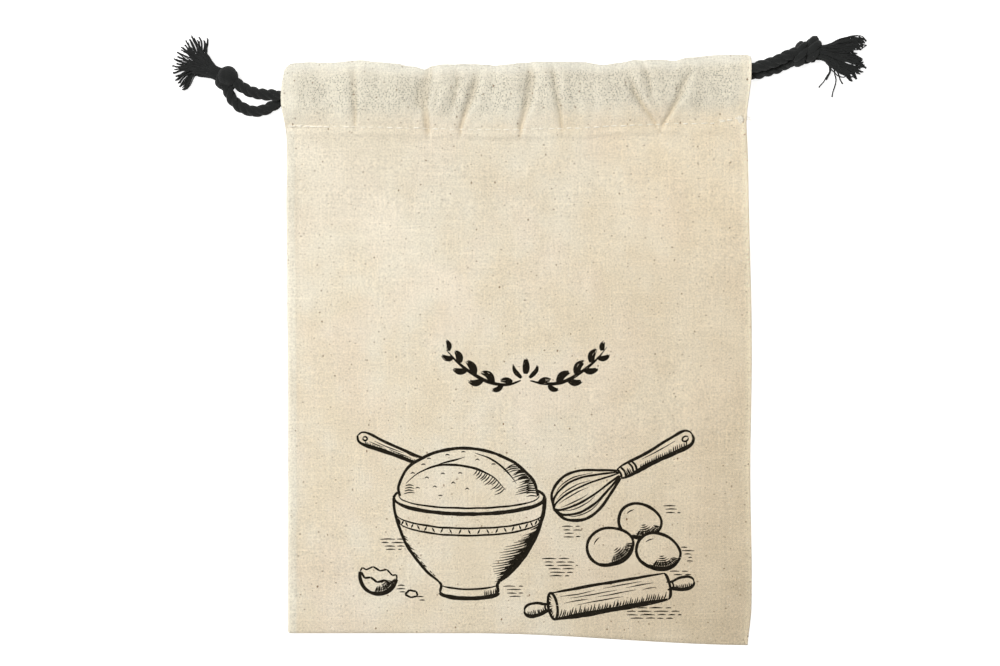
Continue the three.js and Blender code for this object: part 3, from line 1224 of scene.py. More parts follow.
class Drawing:
    def __init__(self, seed):
        self.draw = random.Random(seed)
        self.covers = []  # outlines of what lies nearer, which hide the strokes drawn after them
        self.strokes = []
        self.moveTo(0, 0)

    def moveTo(self, x, y, tilt=0, scale=1):
        # where the origin of the thing drawn next stands
        self.spot = (x, y, tilt)
        self.scale = scale

    def put(self, points):
        return placed([(a * self.scale, b * self.scale) for a, b in points], *self.spot)

    def cover(self, outline):
        self.covers.append(self.put(outline))

    def pen(self, points, width, ends=(0.45, 0.45), soft=0.18):
        # ends are the shares of the width left at each end; soft is how far along they reach it
        line = flatLine(points, ink["step"])
        seed = self.draw.uniform(0, 90)
        last = len(line) - 1
        stroke = []
        for i, point in enumerate(line):
            t = i / last
            thin = min(mix(ends[0], 1, min(1, t / soft)), mix(ends[1], 1, min(1, (1 - t) / soft)))
            uneven = 1 + 0.22 * ripple(i * 0.14, seed) + 0.10 * ripple(i * 0.5, seed, 3)
            x = point.x + 0.16 * ripple(i * 0.10, seed, 6)
            y = point.y + 0.16 * ripple(i * 0.10, seed, 9)
            if any(inside(x, y, outline) for outline in self.covers):
                self.keep(stroke)
                stroke = []
            else:
                stroke.append((x, y, 0.5 * width * thin * uneven))
        self.keep(stroke)

    def keep(self, stroke):
        if len(stroke) > 1:
            self.strokes.append(stroke)

    def contour(self, points, weight=1.0, *taper):
        self.pen(self.put(points), ink["contour"] * weight, *taper)

    def line(self, points, weight=1.0, *taper):
        self.pen(self.put(points), ink["line"] * weight, *taper)

    def shade(self, points, weight=1.0, *taper):
        self.pen(self.put(points), ink["shade"] * weight, *taper)

    def joined(self, points, weight):
        # a broken line, with a stroke from each point to the next
        for a, b in zip(points, points[1:]):
            self.line([a, ((a[0] + b[0]) / 2, (a[1] + b[1]) / 2), b], weight, (0.8, 0.8))

    def hatch(self, first, second, count, weight=1.0, bend=0.0, ragged=0.25):
        # strokes from one guide line to another, thick at the first and running out at the second
        first = flatLine(self.put(first), 0.3)
        second = flatLine(self.put(second), 0.3)
        for i in range(count):
            t = (i + 0.5 + self.draw.uniform(-0.12, 0.12)) / count
            a = first[round(t * (len(first) - 1))]
            b = second[round(t * (len(second) - 1))]
            b = a.lerp(b, 1 - self.draw.uniform(0, ragged))
            middle = (a + b) / 2 + Vector((b.y - a.y, a.x - b.x, 0)) * bend
            self.pen([a.xy, middle.xy, b.xy], ink["shade"] * weight, (0.7, 0.3), 0.4)

    def dashes(self, x, y, wide, rows, gap=1.5):
        # broken level strokes of shade on the table, shorter towards the far rows
        for row in range(rows):
            at = x + self.draw.uniform(0, 1.5) + 0.7 * row
            end = x + wide * (1 - 0.09 * abs(row - rows * 0.4)) + self.draw.uniform(-1.5, 1.0)
            low = y - row * gap
            while at < end:
                long = min(self.draw.uniform(2.5, 6.5), end - at)
                dash = [(at, low), (at + long / 2, low + 0.12), (at + long, low)]
                if long > 0.8:
                    self.shade(dash, 1.1, (0.5, 0.4), 0.4)
                at += long + self.draw.uniform(0.7, 1.6)


def drawBowl(d):
    d.moveTo(*picture["bowl"])
    side = [(33, 0), (32.0, -8), (27.5, -20), (19.5, -31), (13.5, -36.2)]
    foot = [(13.5, -36.2), (12.2, -38.0), (12.8, -41.2)]
    for sign in (-1, 1):
        d.contour([(sign * a, b) for a, b in side], 1.3 if sign > 0 else 1.0, (0.9, 0.8))
        d.contour([(sign * a, b) for a, b in foot])
    d.contour(oval(0, -41.2, 12.8, 2.6, 180, 360), 1.4, (0.8, 0.9))
    d.line(oval(0, -37.2, 13.2, 2.6, 200, 340))
    d.hatch(oval(0, -40.8, 12.8, 2.6, 300, 356), oval(0, -38.0, 13.0, 2.6, 300, 352), 9)
    d.contour(oval(0, 0, 33, 7.0, 176, 364), 1.3, (0.6, 0.8))
    lip = oval(0, 0.7, 30.6, 5.2, 180, 360)
    d.line(lip, 1.0, (0.5, 0.5))
    for wide, low in ((32.3, -6.5), (31.2, -9.6)):
        d.line(oval(0, low, wide, 6.8, 183, 357), 1.0, (0.5, 0.6))
    for i in range(21):  # the small leaf marks between the two rings
        turn = math.radians(mix(196, 344, i / 20))
        a, b = 31.7 * math.cos(turn), 6.8 * math.sin(turn) - 8.0
        lean = 0.5 if i % 2 else -0.5
        d.line([(a - lean, b - 1.0), (a, b), (a + lean, b + 1.0)], 0.95, (0.3, 0.3), 0.5)
    for i in range(17):  # shade along the bowl's own rings: deep on the right, a little on the left
        low = -12.4 - 1.36 * i
        wide = 30.8 - 0.026 * (i + 1) ** 2 - 0.55 * i
        high = 6.6 * wide / 33
        reach = mix(324, 296, math.sin(math.pi * i / 16)) + d.draw.uniform(-6, 5)
        d.shade(oval(0, low, wide, high, 357, reach), 1.3, (0.9, 0.2), 0.5)
        short = 322 + d.draw.uniform(-7, 8)
        d.shade(oval(0, low - 0.66, wide - 0.3, high, 356, short), 1.1, (0.9, 0.25), 0.5)
        if i % 3 != 1:
            far = 200 + d.draw.uniform(-3, 7)
            d.shade(oval(0, low, wide, high, 184, far), 1.0, (0.9, 0.25), 0.5)
    for i in range(9):  # darker still next to its edge
        a, b = mix(31.4, 17.4, (i / 8) ** 1.2), -2.4 * i
        fall = 0.01 * mix(-14, -50, i / 8)
        d.line([(a, b - 12), (a - 2.6, b - 13.2), (a - 4.6, b - 13.9 + fall)], 1.0, (1.0, 0.2), 0.6)
    d.cover(lip + side + [(12.8, -41.2), (-12.8, -41.2)] + [(-a, b) for a, b in reversed(side)])


def drawDough(d):
    # risen over the rim, with the far side of the rim behind it
    d.moveTo(*picture["bowl"])
    dome = [
        (-30.3, 0.8), (-30.7, 5.5), (-26.8, 13.0), (-17.5, 18.8), (-5.5, 21.6), (7.0, 20.6), (18.5, 16.0),
        (27.2, 8.6), (30.2, 0.8),
    ]
    d.contour(dome, 1.05, (0.8, 0.9))
    folds = [
        (1.25, [(-27.6, 6.4), (-21.0, 11.6), (-11.0, 14.4), (0.5, 13.4), (10.0, 9.4), (16.0, 3.4)]),
        (1.0, [(2.5, 19.6), (9.5, 17.0), (15.8, 12.2), (20.6, 6.2)]),
        (0.9, [(-14.0, 14.6), (-7.5, 16.2), (-2.0, 17.9)]),
    ]
    for weight, fold in folds:
        d.line(fold, weight, (0.25, 0.2), 0.35)
    # guide lines, number of strokes, how far they bend and how ragged their ends are
    shades = [
        ([(20.0, 15.0), (26.8, 8.6), (29.6, 1.5)], [(13.4, 13.0), (18.6, 7.0), (19.2, 0.6)], 15, 0.08, 0.45),
        ([(22.6, 12.4), (27.8, 6.6), (29.6, 0.5)], [(18.6, 10.6), (23.0, 5.6), (24.2, 0.2)], 13, 0.08, 0.3),
        ([(-28.6, 1.0), (-27.6, 6.0)], [(-23.6, 1.6), (-23.2, 5.4)], 4, -0.1, 0.4),
        ([(3.0, 12.6), (10.0, 9.4), (15.8, 3.6)], [(0.4, 8.6), (6.2, 5.6), (11.0, 0.6)], 13, -0.08, 0.5),
    ]
    for first, second, count, bend, ragged in shades:
        d.hatch(first, second, count, 1.1, bend, ragged)
    pores = [
        (-18.5, 8.6), (-11.6, 10.4), (-4.0, 10.6), (3.5, 16.4), (10.6, 14.6), (-22.4, 4.2), (-20.0, 14.4),
        (-15.0, 4.6), (-24.6, 10.6), (-9.5, 18.6), (-7.0, 6.2), (-1.0, 3.6), (-12.6, 1.0), (-17.6, 17.0),
        (-2.6, 20.0),
    ]
    for a, b in pores:
        d.shade([(a - 0.9, b), (a, b + d.draw.uniform(0.25, 0.6)), (a + 0.9, b)], 1.3, (0.4, 0.4), 0.5)
    d.cover([p.xy for p in flatLine(dome, 1.0)] + oval(0, 0.7, 30.6, 5.2, 360, 180))
    d.contour(oval(0, 0, 33, 7.0, 0, 180), 1.0, (0.9, 0.9))
    d.line(oval(0, 0.7, 30.6, 5.2, 0, 180), 1.0, (0.8, 0.8))


def drawSpoon(d):
    # a wooden handle standing out of the dough
    d.moveTo(*picture["spoon"])
    edge = [(0, 1.6), (14, 1.6), (28, 1.9), (37, 2.7), (40.4, 2.2), (41.8, 0)]
    d.contour(edge, 1.3)
    d.contour(mirrored(edge), 0.95)
    d.line(oval(38.2, 0, 1.0, 0.9, 0, 350))
    for start, end, up in ((16, 27, 0.3), (20, 34, -0.5), (29, 36, 0.4), (14, 19, -0.9)):
        d.shade([(start, up), ((start + end) / 2, up + 0.15), (end, up)], 1.0, (0.3, 0.3), 0.4)
    d.hatch([(13, 1.6), (37, 2.4)], [(14.5, 0.2), (38.5, 0.9)], 22, 1.1)


def drawWhisk(d):
    d.moveTo(*picture["whisk"], 1.2)
    handle = [(0.5, 1.9), (4, 2.3), (12, 2.1), (22, 2.7), (28, 2.9), (30.2, 1.6), (30.6, 0)]
    d.contour(handle)
    d.contour(mirrored(handle), 1.45)
    d.line(oval(27.6, 0, 1.2, 0.9, 0, 350))
    for a in (0.5, 2.0, 5.2, 6.6):
        d.line([(a, 2.0), (a + 0.5, 0), (a, -2.0)], 1.1, (0.8, 0.8))
    d.hatch([(7.5, -2.2), (27, -2.8)], [(9.0, -0.2), (28.0, -0.6)], 22, 1.15)
    d.shade([(10, 0.9), (17, 0.8), (24, 1.1)], 1.0, (0.3, 0.3), 0.4)
    d.hatch([(2.4, -2.1), (4.8, -2.2)], [(2.4, 0.6), (4.8, 0.6)], 5)
    d.cover(handle + mirrored(reversed(handle)))
    for share, width in ((1.0, 1.15), (0.66, 0.95), (0.3, 0.85)):
        loop = [(0.5, 1.2), (-5, 4.4), (-12, 7.9), (-18.5, 8.6), (-24.4, 5.4), (-26.6, 0)]
        wire = [(a, b * share) for a, b in loop]
        d.pen(d.put(wire), width, (0.8, 1.0))
        d.pen(d.put(mirrored(wire)), width * 1.15, (0.8, 1.0))
    for k, share in enumerate((0.84, -0.84, 0.48, -0.48, 0.16, -0.16)):  # their shaded sides
        wire = [(-8 - k, 5.9 * share), (-15, 8.0 * share), (-20.5, 7.3 * share), (-24.0, 4.9 * share)]
        d.shade(wire, 1.1, (0.2, 0.2), 0.4)


def drawEgg(d, x, y, wide, high, tilt):
    def arc(inset, low, start, end):
        return oval(0, 0, wide - inset, high - low, start, end)

    d.moveTo(x, y, tilt)
    shell = [(a, b * (1 - 0.13 * a / wide)) for a, b in oval(0, 0, wide, high)]
    d.contour(shell, 1.0, (0.9, 0.9))
    d.contour(arc(0, 0.01 * high, 232, 350), 1.6, (0.3, 0.3), 0.4)
    for k in range(6):
        inset = 1.0 + 1.05 * k
        d.shade(arc(inset, inset * 0.9, 256 + 6 * k, 354 - 6 * k), 1.25, (0.25, 0.25), 0.4)
    core = oval(0.5, 0.2, wide * 0.58, high * 0.5, 268, 350)
    d.hatch(arc(0.03 * wide, 0.05 * high, 262, 356), core, 16, 1.1)
    d.shade(oval(-0.5, 0.5, wide * 0.66, high * 0.62, 118, 158), 1.1, (0.3, 0.3), 0.4)  # a gleam
    d.cover(shell)


def drawPin(d):
    half, thick = 25.0, 5.8

    def beside(sign, points):
        return [(sign * (half + a), b) for a, b in points]

    d.moveTo(*picture["pin"])
    barrel = [(-half, thick), (-8, thick + 0.15), (8, thick + 0.1), (half, thick)]
    d.contour(barrel)
    d.contour(mirrored(barrel), 1.7)
    d.contour(oval(half, 0, 1.9, thick, -90, 90))
    d.contour(oval(-half, 0, 1.9, thick), 0.95, (0.9, 0.9))
    grip = [(0.6, 1.7), (3.0, 1.5), (6.5, 2.6), (10.2, 2.6), (12.2, 1.3), (12.5, 0)]
    for sign in (-1, 1):
        for up in (-1, 1):
            d.contour(beside(sign, [(a, up * b) for a, b in grip]), 1.3 if up < 0 else 0.9)
        d.line(beside(sign, [(3.0, 1.5), (3.4, 0), (3.0, -1.5)]))
        d.hatch(beside(sign, [(4.0, -2.0), (11.5, -2.2)]), beside(sign, [(4.0, 0.2), (11.5, 0)]), 9, 1.1)
    grain = [
        (-21, -6, 3.6), (-2, 15, 3.9), (-17, 4, 2.2), (8, 20, 2.4), (-20, -9, 0.4), (-5, 12, 0.7),
        (15, 21, 0.3), (-14, 6, -1.2),
    ]
    for start, end, up in grain:
        middle = ((start + end) / 2, up + d.draw.uniform(-0.3, 0.3))
        d.shade([(start, up), middle, (end, up)], 1.0, (0.25, 0.25), 0.4)
    d.hatch([(-23.5, -5.5), (23.5, -5.5)], [(-21.5, -1.6), (25.5, -1.8)], 46, 1.15, 0.06, 0.55)
    d.hatch(oval(-half, 0, 1.9, thick, 100, 260), oval(-half + 0.4, 0, 0.6, thick * 0.6, 100, 260), 9)
    far = half + 1.9
    d.cover([(-far, -thick), (far, -thick), (far, thick), (-far, thick)])


def drawShell(d):
    # half an eggshell, cracked round its edge, with a chip of it beside it
    x, y, tilt = picture["shell"]
    d.moveTo(x, y, tilt)
    d.contour(oval(0, 0, 8.2, 8.4, 182, 358), 1.25, (0.8, 0.8))
    for sign, low in ((1, 0), (-1, 0.3)):
        crack = []
        for i in range(9):
            turn = math.radians(mix(180, 0 if sign > 0 else 360, i / 8))
            jag = (0.75 if i % 2 else -0.65) if 0 < i < 8 else 0
            crack.append((8.2 * math.cos(turn), 2.4 * math.sin(turn) + jag - low))
        d.joined(crack, 0.9 if sign > 0 else 1.2)
    for k in range(5):
        arc = oval(0, 0, 7.3 - 1.0 * k, 7.5 - 0.9 * k, 284 + 5 * k, 352 - 7 * k)
        d.shade(arc, 1.2, (0.3, 0.3), 0.4)
    d.hatch(oval(0, 0, 8.0, 8.1, 265, 350), oval(0, 0, 4.4, 4.4, 275, 342), 14, 1.1)
    d.moveTo(x, y)
    chip = [(11.5, -8.6), (13.4, -6.6), (16.4, -7.2), (17.0, -9.2), (14.2, -9.9)]
    d.joined(chip + chip[:1], 1.0)
    d.dashes(7.0, -4.6, 6.0, 3)
    d.dashes(16.5, -9.6, 4.0, 2)


def drawPicture():
    # the nearer things come first, because they cover what is drawn after them
    d = Drawing(picture["seed"])
    drawBowl(d)
    drawDough(d)
    drawSpoon(d)
    drawPin(d)
    for egg in picture["eggs"]:
        drawEgg(d, *egg)
    drawWhisk(d)
    drawShell(d)
    d.moveTo(0, 0)
    for rows in picture["dashes"]:
        d.dashes(*rows)
    return d.strokes


# The flourish is a pair of leafy sprigs, brushed once to each side of its middle
flourish = {
    "seed": 8,
    "middle": (3.5, -7.5),
    "bristles": 9,
    "stem": [(1.6, -5.6), (8.0, -7.4), (16.0, -6.4), (24.0, -2.4), (31.0, 3.6), (36.6, 10.4)],
    "stemWidth": 1.5,
    # where each leaf starts along the stem, which side it is on, its length and its width
    "leaves": [
        (0.10, 1, 6.4, 2.5), (0.20, -1, 6.2, 2.3), (0.30, 1, 7.6, 3.1), (0.41, -1, 7.0, 2.8),
        (0.51, 1, 7.8, 3.2), (0.61, -1, 7.0, 2.7), (0.71, 1, 7.0, 2.9), (0.80, -1, 6.0, 2.3),
        (0.88, 1, 5.6, 2.2),
    ],
    "bud": [
        ([(0, -3.4), (0.3, 0.4), (0, 4.8)], 3.0),
        ([(-1.4, -5.0), (-4.6, -1.6), (-5.4, 1.8)], 1.9),
        ([(1.4, -5.0), (4.6, -1.6), (5.4, 1.8)], 1.9),
    ],
    # the shares of their length after which the strokes run dry
    "dryStem": 0.8,
    "dryLeaf": 0.62,
    "dryBud": 0.7,
}


def brush(points, widest, dry, draw, strokes):
    # one pressed stroke of a flat brush, as the lines that its bristles leave
    line = flatLine(points, 0.45)
    last = len(line) - 1
    bristles = flourish["bristles"]
    lineWidth = 0.5 * widest / bristles
    for k in range(bristles):
        place = (k + 0.5) / bristles - 0.5
        seed = draw.uniform(0, 60)
        first = draw.uniform(0, 0.04)
        final = 1 - draw.uniform(0, 0.12) - 0.12 * abs(place)
        runs = [[]]
        for i, point in enumerate(line):
            t = i / last
            ahead = (line[min(i + 1, last)] - line[max(i - 1, 0)]).normalized()
            press = 0.12 + 0.88 * math.sin(math.pi * min(1, 0.04 + t * 0.98) ** 0.85)
            press *= 1 + 0.10 * ripple(i * 0.15, seed)
            gap = ripple(i * 0.16, seed, 2) > 0.55 - 0.85 * smooth(dry, 1.0, t) and 0 < k < bristles - 1
            if first < t < final and not gap:
                middle = point + leftOf(ahead) * (place * widest * press)
                half = lineWidth * (1.35 * press + 0.25) + 0.05 * ripple(i * 0.6, seed, 5)
                runs[-1].append((middle.x, middle.y, half))
            else:
                runs.append([])
        strokes += [run for run in runs if len(run) > 1]


def drawFlourish():
    draw = random.Random(flourish["seed"])
    x, y = flourish["middle"]
    strokes = []
    stem = flatLine(flourish["stem"], 0.4)
    last = len(stem) - 1

    def byHand(side, points):
        return [(x + side * a, y + b + 0.25 * draw.uniform(-1, 1)) for a, b in points]

    for side in (1, -1):
        brush(byHand(side, flourish["stem"]), flourish["stemWidth"], flourish["dryStem"], draw, strokes)
        for share, hand, long, wide in flourish["leaves"]:
            at = round(share * last)
            base = stem[at]
            ahead = (stem[min(at + 3, last)] - stem[max(at - 3, 0)]).normalized()
            away = leftOf(ahead) * hand
            long = long * draw.uniform(0.92, 1.08)
            belly = base + ahead * (0.38 * long) + away * (0.36 * long)
            tip = base + ahead * (0.92 * long) + away * (0.46 * long)
            leaf = byHand(side, [p.xy for p in (base, belly, tip)])
            brush(leaf, wide, flourish["dryLeaf"], draw, strokes)
    for points, wide in flourish["bud"]:
        brush(placed(points, x, y), wide, flourish["dryBud"], draw, strokes)
    return strokes


def addPrint(name, strokes, front, material):
    shape = Shape()
    for stroke in strokes:
        first = len(shape.vertices)
        last = len(stroke) - 1
        for i, (x, y, half) in enumerate(stroke):
            before, after = stroke[max(i - 1, 0)], stroke[min(i + 1, last)]
            ahead = Vector((after[0] - before[0], after[1] - before[1])).normalized()
            side = Vector((-ahead.y, ahead.x)) * max(half, ink["thinnest"])
            for down in (-ink["proud"], ink["sunk"]):
                for a, b in ((x + side.x, y + side.y), (x - side.x, y - side.y)):
                    shape.vertices.append((a * mm, b * mm, front(a * mm, b * mm) - down))
        for i in range(last):
            a = first + 4 * i
            b = a + 4
            shape.faces += [(a, a + 1, b + 1, b), (a + 3, a + 2, b + 2, b + 3)]
            shape.faces += [(a + 1, a + 3, b + 3, b + 1), (a + 2, a, b, b + 2)]
        end = first + 4 * last
        shape.faces += [(first, first + 2, first + 3, first + 1), (end, end + 1, end + 3, end + 2)]
    shape.piece(name, material, "print", smoothShaded=False)
    print(name, "made with", len(strokes), "strokes")


# Colours of the cloth, and how much each part of its make shows
calico = {
    "warm": (0.845, 0.735, 0.56, 1),
    "cool": (0.805, 0.735, 0.60, 1),
    "rosy": (0.85, 0.715, 0.575, 1),
    "sunny": (0.87, 0.725, 0.52, 1),  # painted shade: warmer towards the right, away from the cool key light
    "pale": (0.90, 0.83, 0.69, 1),  # painted light: paler towards the upper left corner, under the cool key light
    "leftEdge": (0.85, 0.81, 0.69, 1),  # the strips of doubled cloth along the seams
    "rightEdge": (0.98, 0.87, 0.66, 1),
    "hem": (0.80, 0.755, 0.635, 1),
    "fold": (0.86, 0.83, 0.73, 1),  # along the mouth
    "dull": (0.68, 0.545, 0.36, 1),  # painted shade: towards the lower right corner, away from the key light, and in the creases
    "cordShows": (0.15, 0.135, 0.095, 1),
    "husk": (0.17, 0.08, 0.018, 1),
    "nep": (0.93, 0.88, 0.78, 1),
    # how strongly some of these are laid on
    "shares": {"rosy": 0.35, "pale": 0.55, "hem": 0.8, "fold": 0.72, "dull": 0.5, "nep": 0.4},
    # how much lighter and darker the cloth goes with each
    "tone": {
        "grain": 0.42, "crossing": 0.06, "fluff": 0.06, "patches": 0.21, "drift": 0.24,
        "warp": 0.11, "weft": 0.09,
    },
    "thread": 0.43 * mm,  # from one thread to the next
    "wander": 1.6 * mm,  # how far threads stray from straight
    "specks": 1350.0,  # specks of the hidden cord to a metre
    "neps": 230.0,  # and knots of loose fibre
    # flecks: size of a cell, share of cells with one, its half width in cells, how dark, stretch
    "flecks": [
        (11 * mm, 0.62, 0.026, 0.95, (1.0, 0.75, 1)),
        (5.6 * mm, 0.66, 0.046, 0.70, (0.75, 1.0, 1)),
        (3.4 * mm, 0.70, 0.064, 0.42, (1.0, 0.8, 1)),
        (1.7 * mm, 0.5, 0.11, 0.22, (1.0, 1.0, 1)),
    ],
    "roughness": 0.93,
    "specular": 0.25,
    "sheen": 0.12,
    "sheenRoughness": 0.6,
    "relief": 0.12 * mm,  # of the weave
}


class Calico(Shader):
    def __init__(self):
        super().__init__("calico")
        where = self.xyz()
        self.x, self.y = where[0], where[1]
        self.fromSide = self.mark("fromSide")
        self.overStitches = self.mark("overStitches")
        self.fromMouth = self.mark("fromMouth")
        self.crease = self.mark("pinched")
        self.belowHem = self.overStitches.fall(-3.0, 0.0)
        # painted shade: darker towards the lower right, away from the key light
        self.worn = self.x.rise(-0.03, 0.125) * self.y.rise(0.095, -0.135)
        self.grain = self.uneven((1500, 1450, 1500), 0.0)
        self.fluff = self.uneven((420, 380, 400), 3.0, 0.6)
        self.patches = self.uneven((75, 60, 50), 3.0, 0.6)
        self.drift = self.uneven((19, 15, 17))
        self.weaveThreads()

    def weaveThreads(self):
        # each thread is thick and thin along its length and wanders a little
        turn = math.pi / calico["thread"]
        wander = self.uneven((60, 60, 60)) * calico["wander"]
        self.warp = self.uneven((1500, 60, 200), 2.0, 0.65)
        self.weft = self.uneven((60, 1500, 200), 2.0, 0.65)
        across = ((self.x + wander) * turn + self.weft * 0.9).sine()
        along = ((self.y - wander) * turn + self.warp * 0.9).sine()
        self.crossing = across * along
        over = across.size() + self.crossing + self.warp * 1.8
        under = along.size() - self.crossing + self.weft * 1.8
        self.weave = over.above(under)

    def leftToRight(self, left, right):
        return self.x.rise(-0.05, 0.05, left, right)

    def covered(self, cloth, layers):
        for share, colour in layers:
            cloth = self.blend(share, cloth, colour)
        return cloth

    def colour(self):
        hue = (self.patches * 1.7 + self.drift * 2.4 + 0.5).rise(0.0, 1.0)
        blush = self.patchy((33, 26, 30)).rise(0.46, 0.64)
        # painted shade: warmer and yellower towards the right, away from the cool key light
        sunny = self.x.rise(-0.01, 0.10) * self.y.rise(0.055, 0.095, 0.50, 0.26)
        # painted light: paler towards the upper left, where the key light falls
        pale = self.y.rise(0.0, 0.085) * self.x.rise(0.04, -0.09)
        hem = (self.overStitches + self.patches * 10.0).rise(-1.0, 12.0)
        fold = (self.fromMouth + self.patches * 6.0).rise(6.0, 0.8)
        # the doubled cloth along the seams, and at the ends of the hem
        strip = self.fromSide.fall(self.leftToRight(2.8, 0.9), self.leftToRight(4.4, 3.8))
        hemEnd = self.fromSide.fall(3.4, 5.6, self.leftToRight(0.8, 0.3))
        strip = strip * self.belowHem + hemEnd * self.overStitches.rise(0.0, 4.0)
        edge = self.blend(self.leftToRight(0.0, 1.0), calico["leftEdge"], calico["rightEdge"])
        shares = calico["shares"]
        return self.covered(self.blend(hue, calico["warm"], calico["cool"]), [
            (blush * shares["rosy"], calico["rosy"]),
            (sunny, calico["sunny"]),
            (pale * shares["pale"], calico["pale"]),
            (hem * shares["hem"], calico["hem"]),
            (fold * shares["fold"], calico["fold"]),
            (strip * self.leftToRight(0.55, 0.85), edge),
            (self.worn * shares["dull"], calico["dull"]),
        ])

    def tone(self):
        # lighter and darker with the threads, and in patches
        tone = 1.0
        for name, amount in calico["tone"].items():
            tone = tone + getattr(self, name) * amount
        tone = tone + self.weave.rise(0.1, 1.2, -0.09, 0.02)
        tone = tone + self.weft.rise(0.12, 0.23) * 0.07 + self.warp.rise(0.13, 0.24) * 0.05
        # painted shade to the lower right, at the stitches and in the creases; painted light on the outer
        # edges
        # painted shade: the lower right corner darker still
        corner = self.x.rise(0.065, 0.11) * self.y.rise(-0.085, -0.128)
        tone = tone - self.worn * 0.09 - corner * 0.08
        # painted light on the rolled seams, lifting their shade, most on the right
        tone = tone + self.fromSide.fall(0.2, self.leftToRight(1.4, 1.7), self.leftToRight(0.10, 0.24))
        # painted shade in the needle holes along the stitches and in the creases
        tone = tone - self.overStitches.size().fall(0.2, 0.6, 0.04) - self.crease.rise(0.15, 0.9) * 0.08
        # painted shadow under the step where the hem's raw edge ends inside, which fades out to the right
        rawEdgeShadow = (self.overStitches + 3.7 + self.patches * 4.0).size().fall(0.2, 1.2, 0.05)
        tone = tone - rawEdgeShadow * self.x.fall(0.060, 0.085)
        # painted shade over the upper left of the body and painted light over its upper right, evening out
        # the key light
        leftHem = self.overStitches.fall(-1.0, 5.0, -0.055)
        tone = tone + self.x.rise(-0.05, 0.09, leftHem, 0.05) * self.y.rise(0.030, 0.075)
        # the seams' allowances and their threads, under the front
        seam = (self.fromSide - 11.0).size().fall(0.2, 0.7, -0.03) * self.leftToRight(0.4, 1.0)
        seam = seam + (self.fromSide - 4.2).size().fall(0.2, 0.9, -0.012)
        tone = tone + seam * self.belowHem
        rubbed = self.patchy((70, 640, 60), 2.0, 0.6).rise(0.62, 0.74) * self.drift.rise(-0.05, 0.12)
        return tone + rubbed * 0.07

    def hiddenCord(self, cloth):
        # the cord shows as dark specks through the gaps of the weave, less so towards the ends of the hem
        middle = self.x.rise(-0.05, 0.085, 111.0 * mm, 115.4 * mm)
        reach = self.x.rise(-0.05, 0.085, 9.6 * mm, 11.2 * mm)
        uneven = self.uneven((150, 34, 60), 3.0, 0.6)
        off = (self.y - middle + uneven * (12 * mm)).size() / reach
        band = off.fall(0.45, 1.1) * self.fromSide.rise(3.0, self.leftToRight(11.0, 6.5))
        band = band * (self.fromMouth + uneven * 6.0).rise(1.5, 5.5, 0.15, 1.0)
        # most where the cloth is pressed on the cord
        streak = self.patchy((360, 40, 60)).rise(0.32, 0.68, 0.74, 1.14)
        pressed = self.patchy((130, 60, 60), 3.0, 0.6).rise(0.34, 0.62, 0.76, 1.04) * streak
        pressed = pressed + self.crease.rise(0.1, 1.0, 0.0, 0.50) - self.crease.rise(-0.12, -0.5, 0.0, 0.30)
        speck = self.cells(self.noisyPlace(0.3 * mm), calico["specks"])
        dot = speck["Distance"].fall(0.10, 0.34) * speck["Color"].rise(0.42, 0.66)
        holes = self.weave.fall(0.15, 0.85)
        pepper = dot * self.x.rise(-0.08, 0.07, 1.6, 1.35) + holes * 0.12 + 0.05
        # painted shadow in the creases, strongest near the stitches
        shadow = self.crease.rise(0.2, 1.4) * self.overStitches.rise(4.0, 16.0, 0.36, 0.14)
        return self.covered(cloth, [
            ((band * pressed).above(0.0) * pepper, calico["cordShows"]),
            (shadow, calico["dull"]),
        ])

    def flecks(self, cloth):
        for cell, share, wide, strength, stretch in calico["flecks"]:
            spot = self.cells(self.stretched(self.noisyPlace(0.5 * mm), stretch), 1 / cell)
            chance = self.node("SeparateColor", {}, {0: spot["Color"]})
            size = chance[1] * (0.9 * wide) + 0.5 * wide
            husk = (spot["Distance"] / size).fall(0.75, 1.15) * chance[0].rise(share, share - 0.02)
            dark = chance[2] * (0.5 * strength) + 0.5 * strength
            cloth = self.blend(husk * dark, cloth, calico["husk"])
        spot = self.cells(self.noisyPlace(1.0 * mm), calico["neps"])
        chance = self.node("SeparateColor", {}, {0: spot["Color"]})
        nep = spot["Distance"].fall(0.03, 0.10) * chance[0].rise(0.5, 0.45)
        return self.blend(nep * calico["shares"]["nep"], cloth, calico["nep"])


def calicoMaterial():
    c = Calico()
    tone = c.tone()
    shade = c.node("CombineColor", {}, {0: tone, 1: tone, 2: tone})
    cloth = c.blend(1.0, c.colour(), shade, "MULTIPLY")
    cloth = c.flecks(c.hiddenCord(cloth))
    height = c.weave * 0.5 + c.grain * 0.6 + c.fluff * 0.8
    return c.finish({
        "Base Color": cloth, "Normal": c.bump(height, 0.85, calico["relief"]),
        "Roughness": calico["roughness"], "Specular IOR Level": calico["specular"],
        "Sheen Weight": calico["sheen"], "Sheen Roughness": calico["sheenRoughness"],
    })


# Ink that has sunk into the weave: thin where threads cross, and in patches
inkFinish = {
    "black": (0.008, 0.0062, 0.0036, 1),
    "soft": (0.020, 0.016, 0.010, 1),
    "worn": (0.16, 0.13, 0.085, 1),
    "thread": 0.55 * mm,
    "relief": 0.06 * mm,
}


def inkMaterial():
    c = Shader("ink")
    where = c.xyz()
    turn = math.pi / inkFinish["thread"]
    crossing = (where[0] * turn).sine() * (where[1] * turn).sine()
    patch = c.patchy((1100, 1100, 300), 3.0, 0.6)
    thin = (patch + crossing.size() * 0.10).fall(0.30, 0.44) * 0.5
    colour = c.blend(thin, c.blend(patch, inkFinish["black"], inkFinish["soft"]), inkFinish["worn"])
    bump = c.bump(crossing + patch, 0.5, inkFinish["relief"])
    return c.finish({"Base Color": colour, "Normal": bump, "Roughness": 0.9, "Specular IOR Level": 0.1})


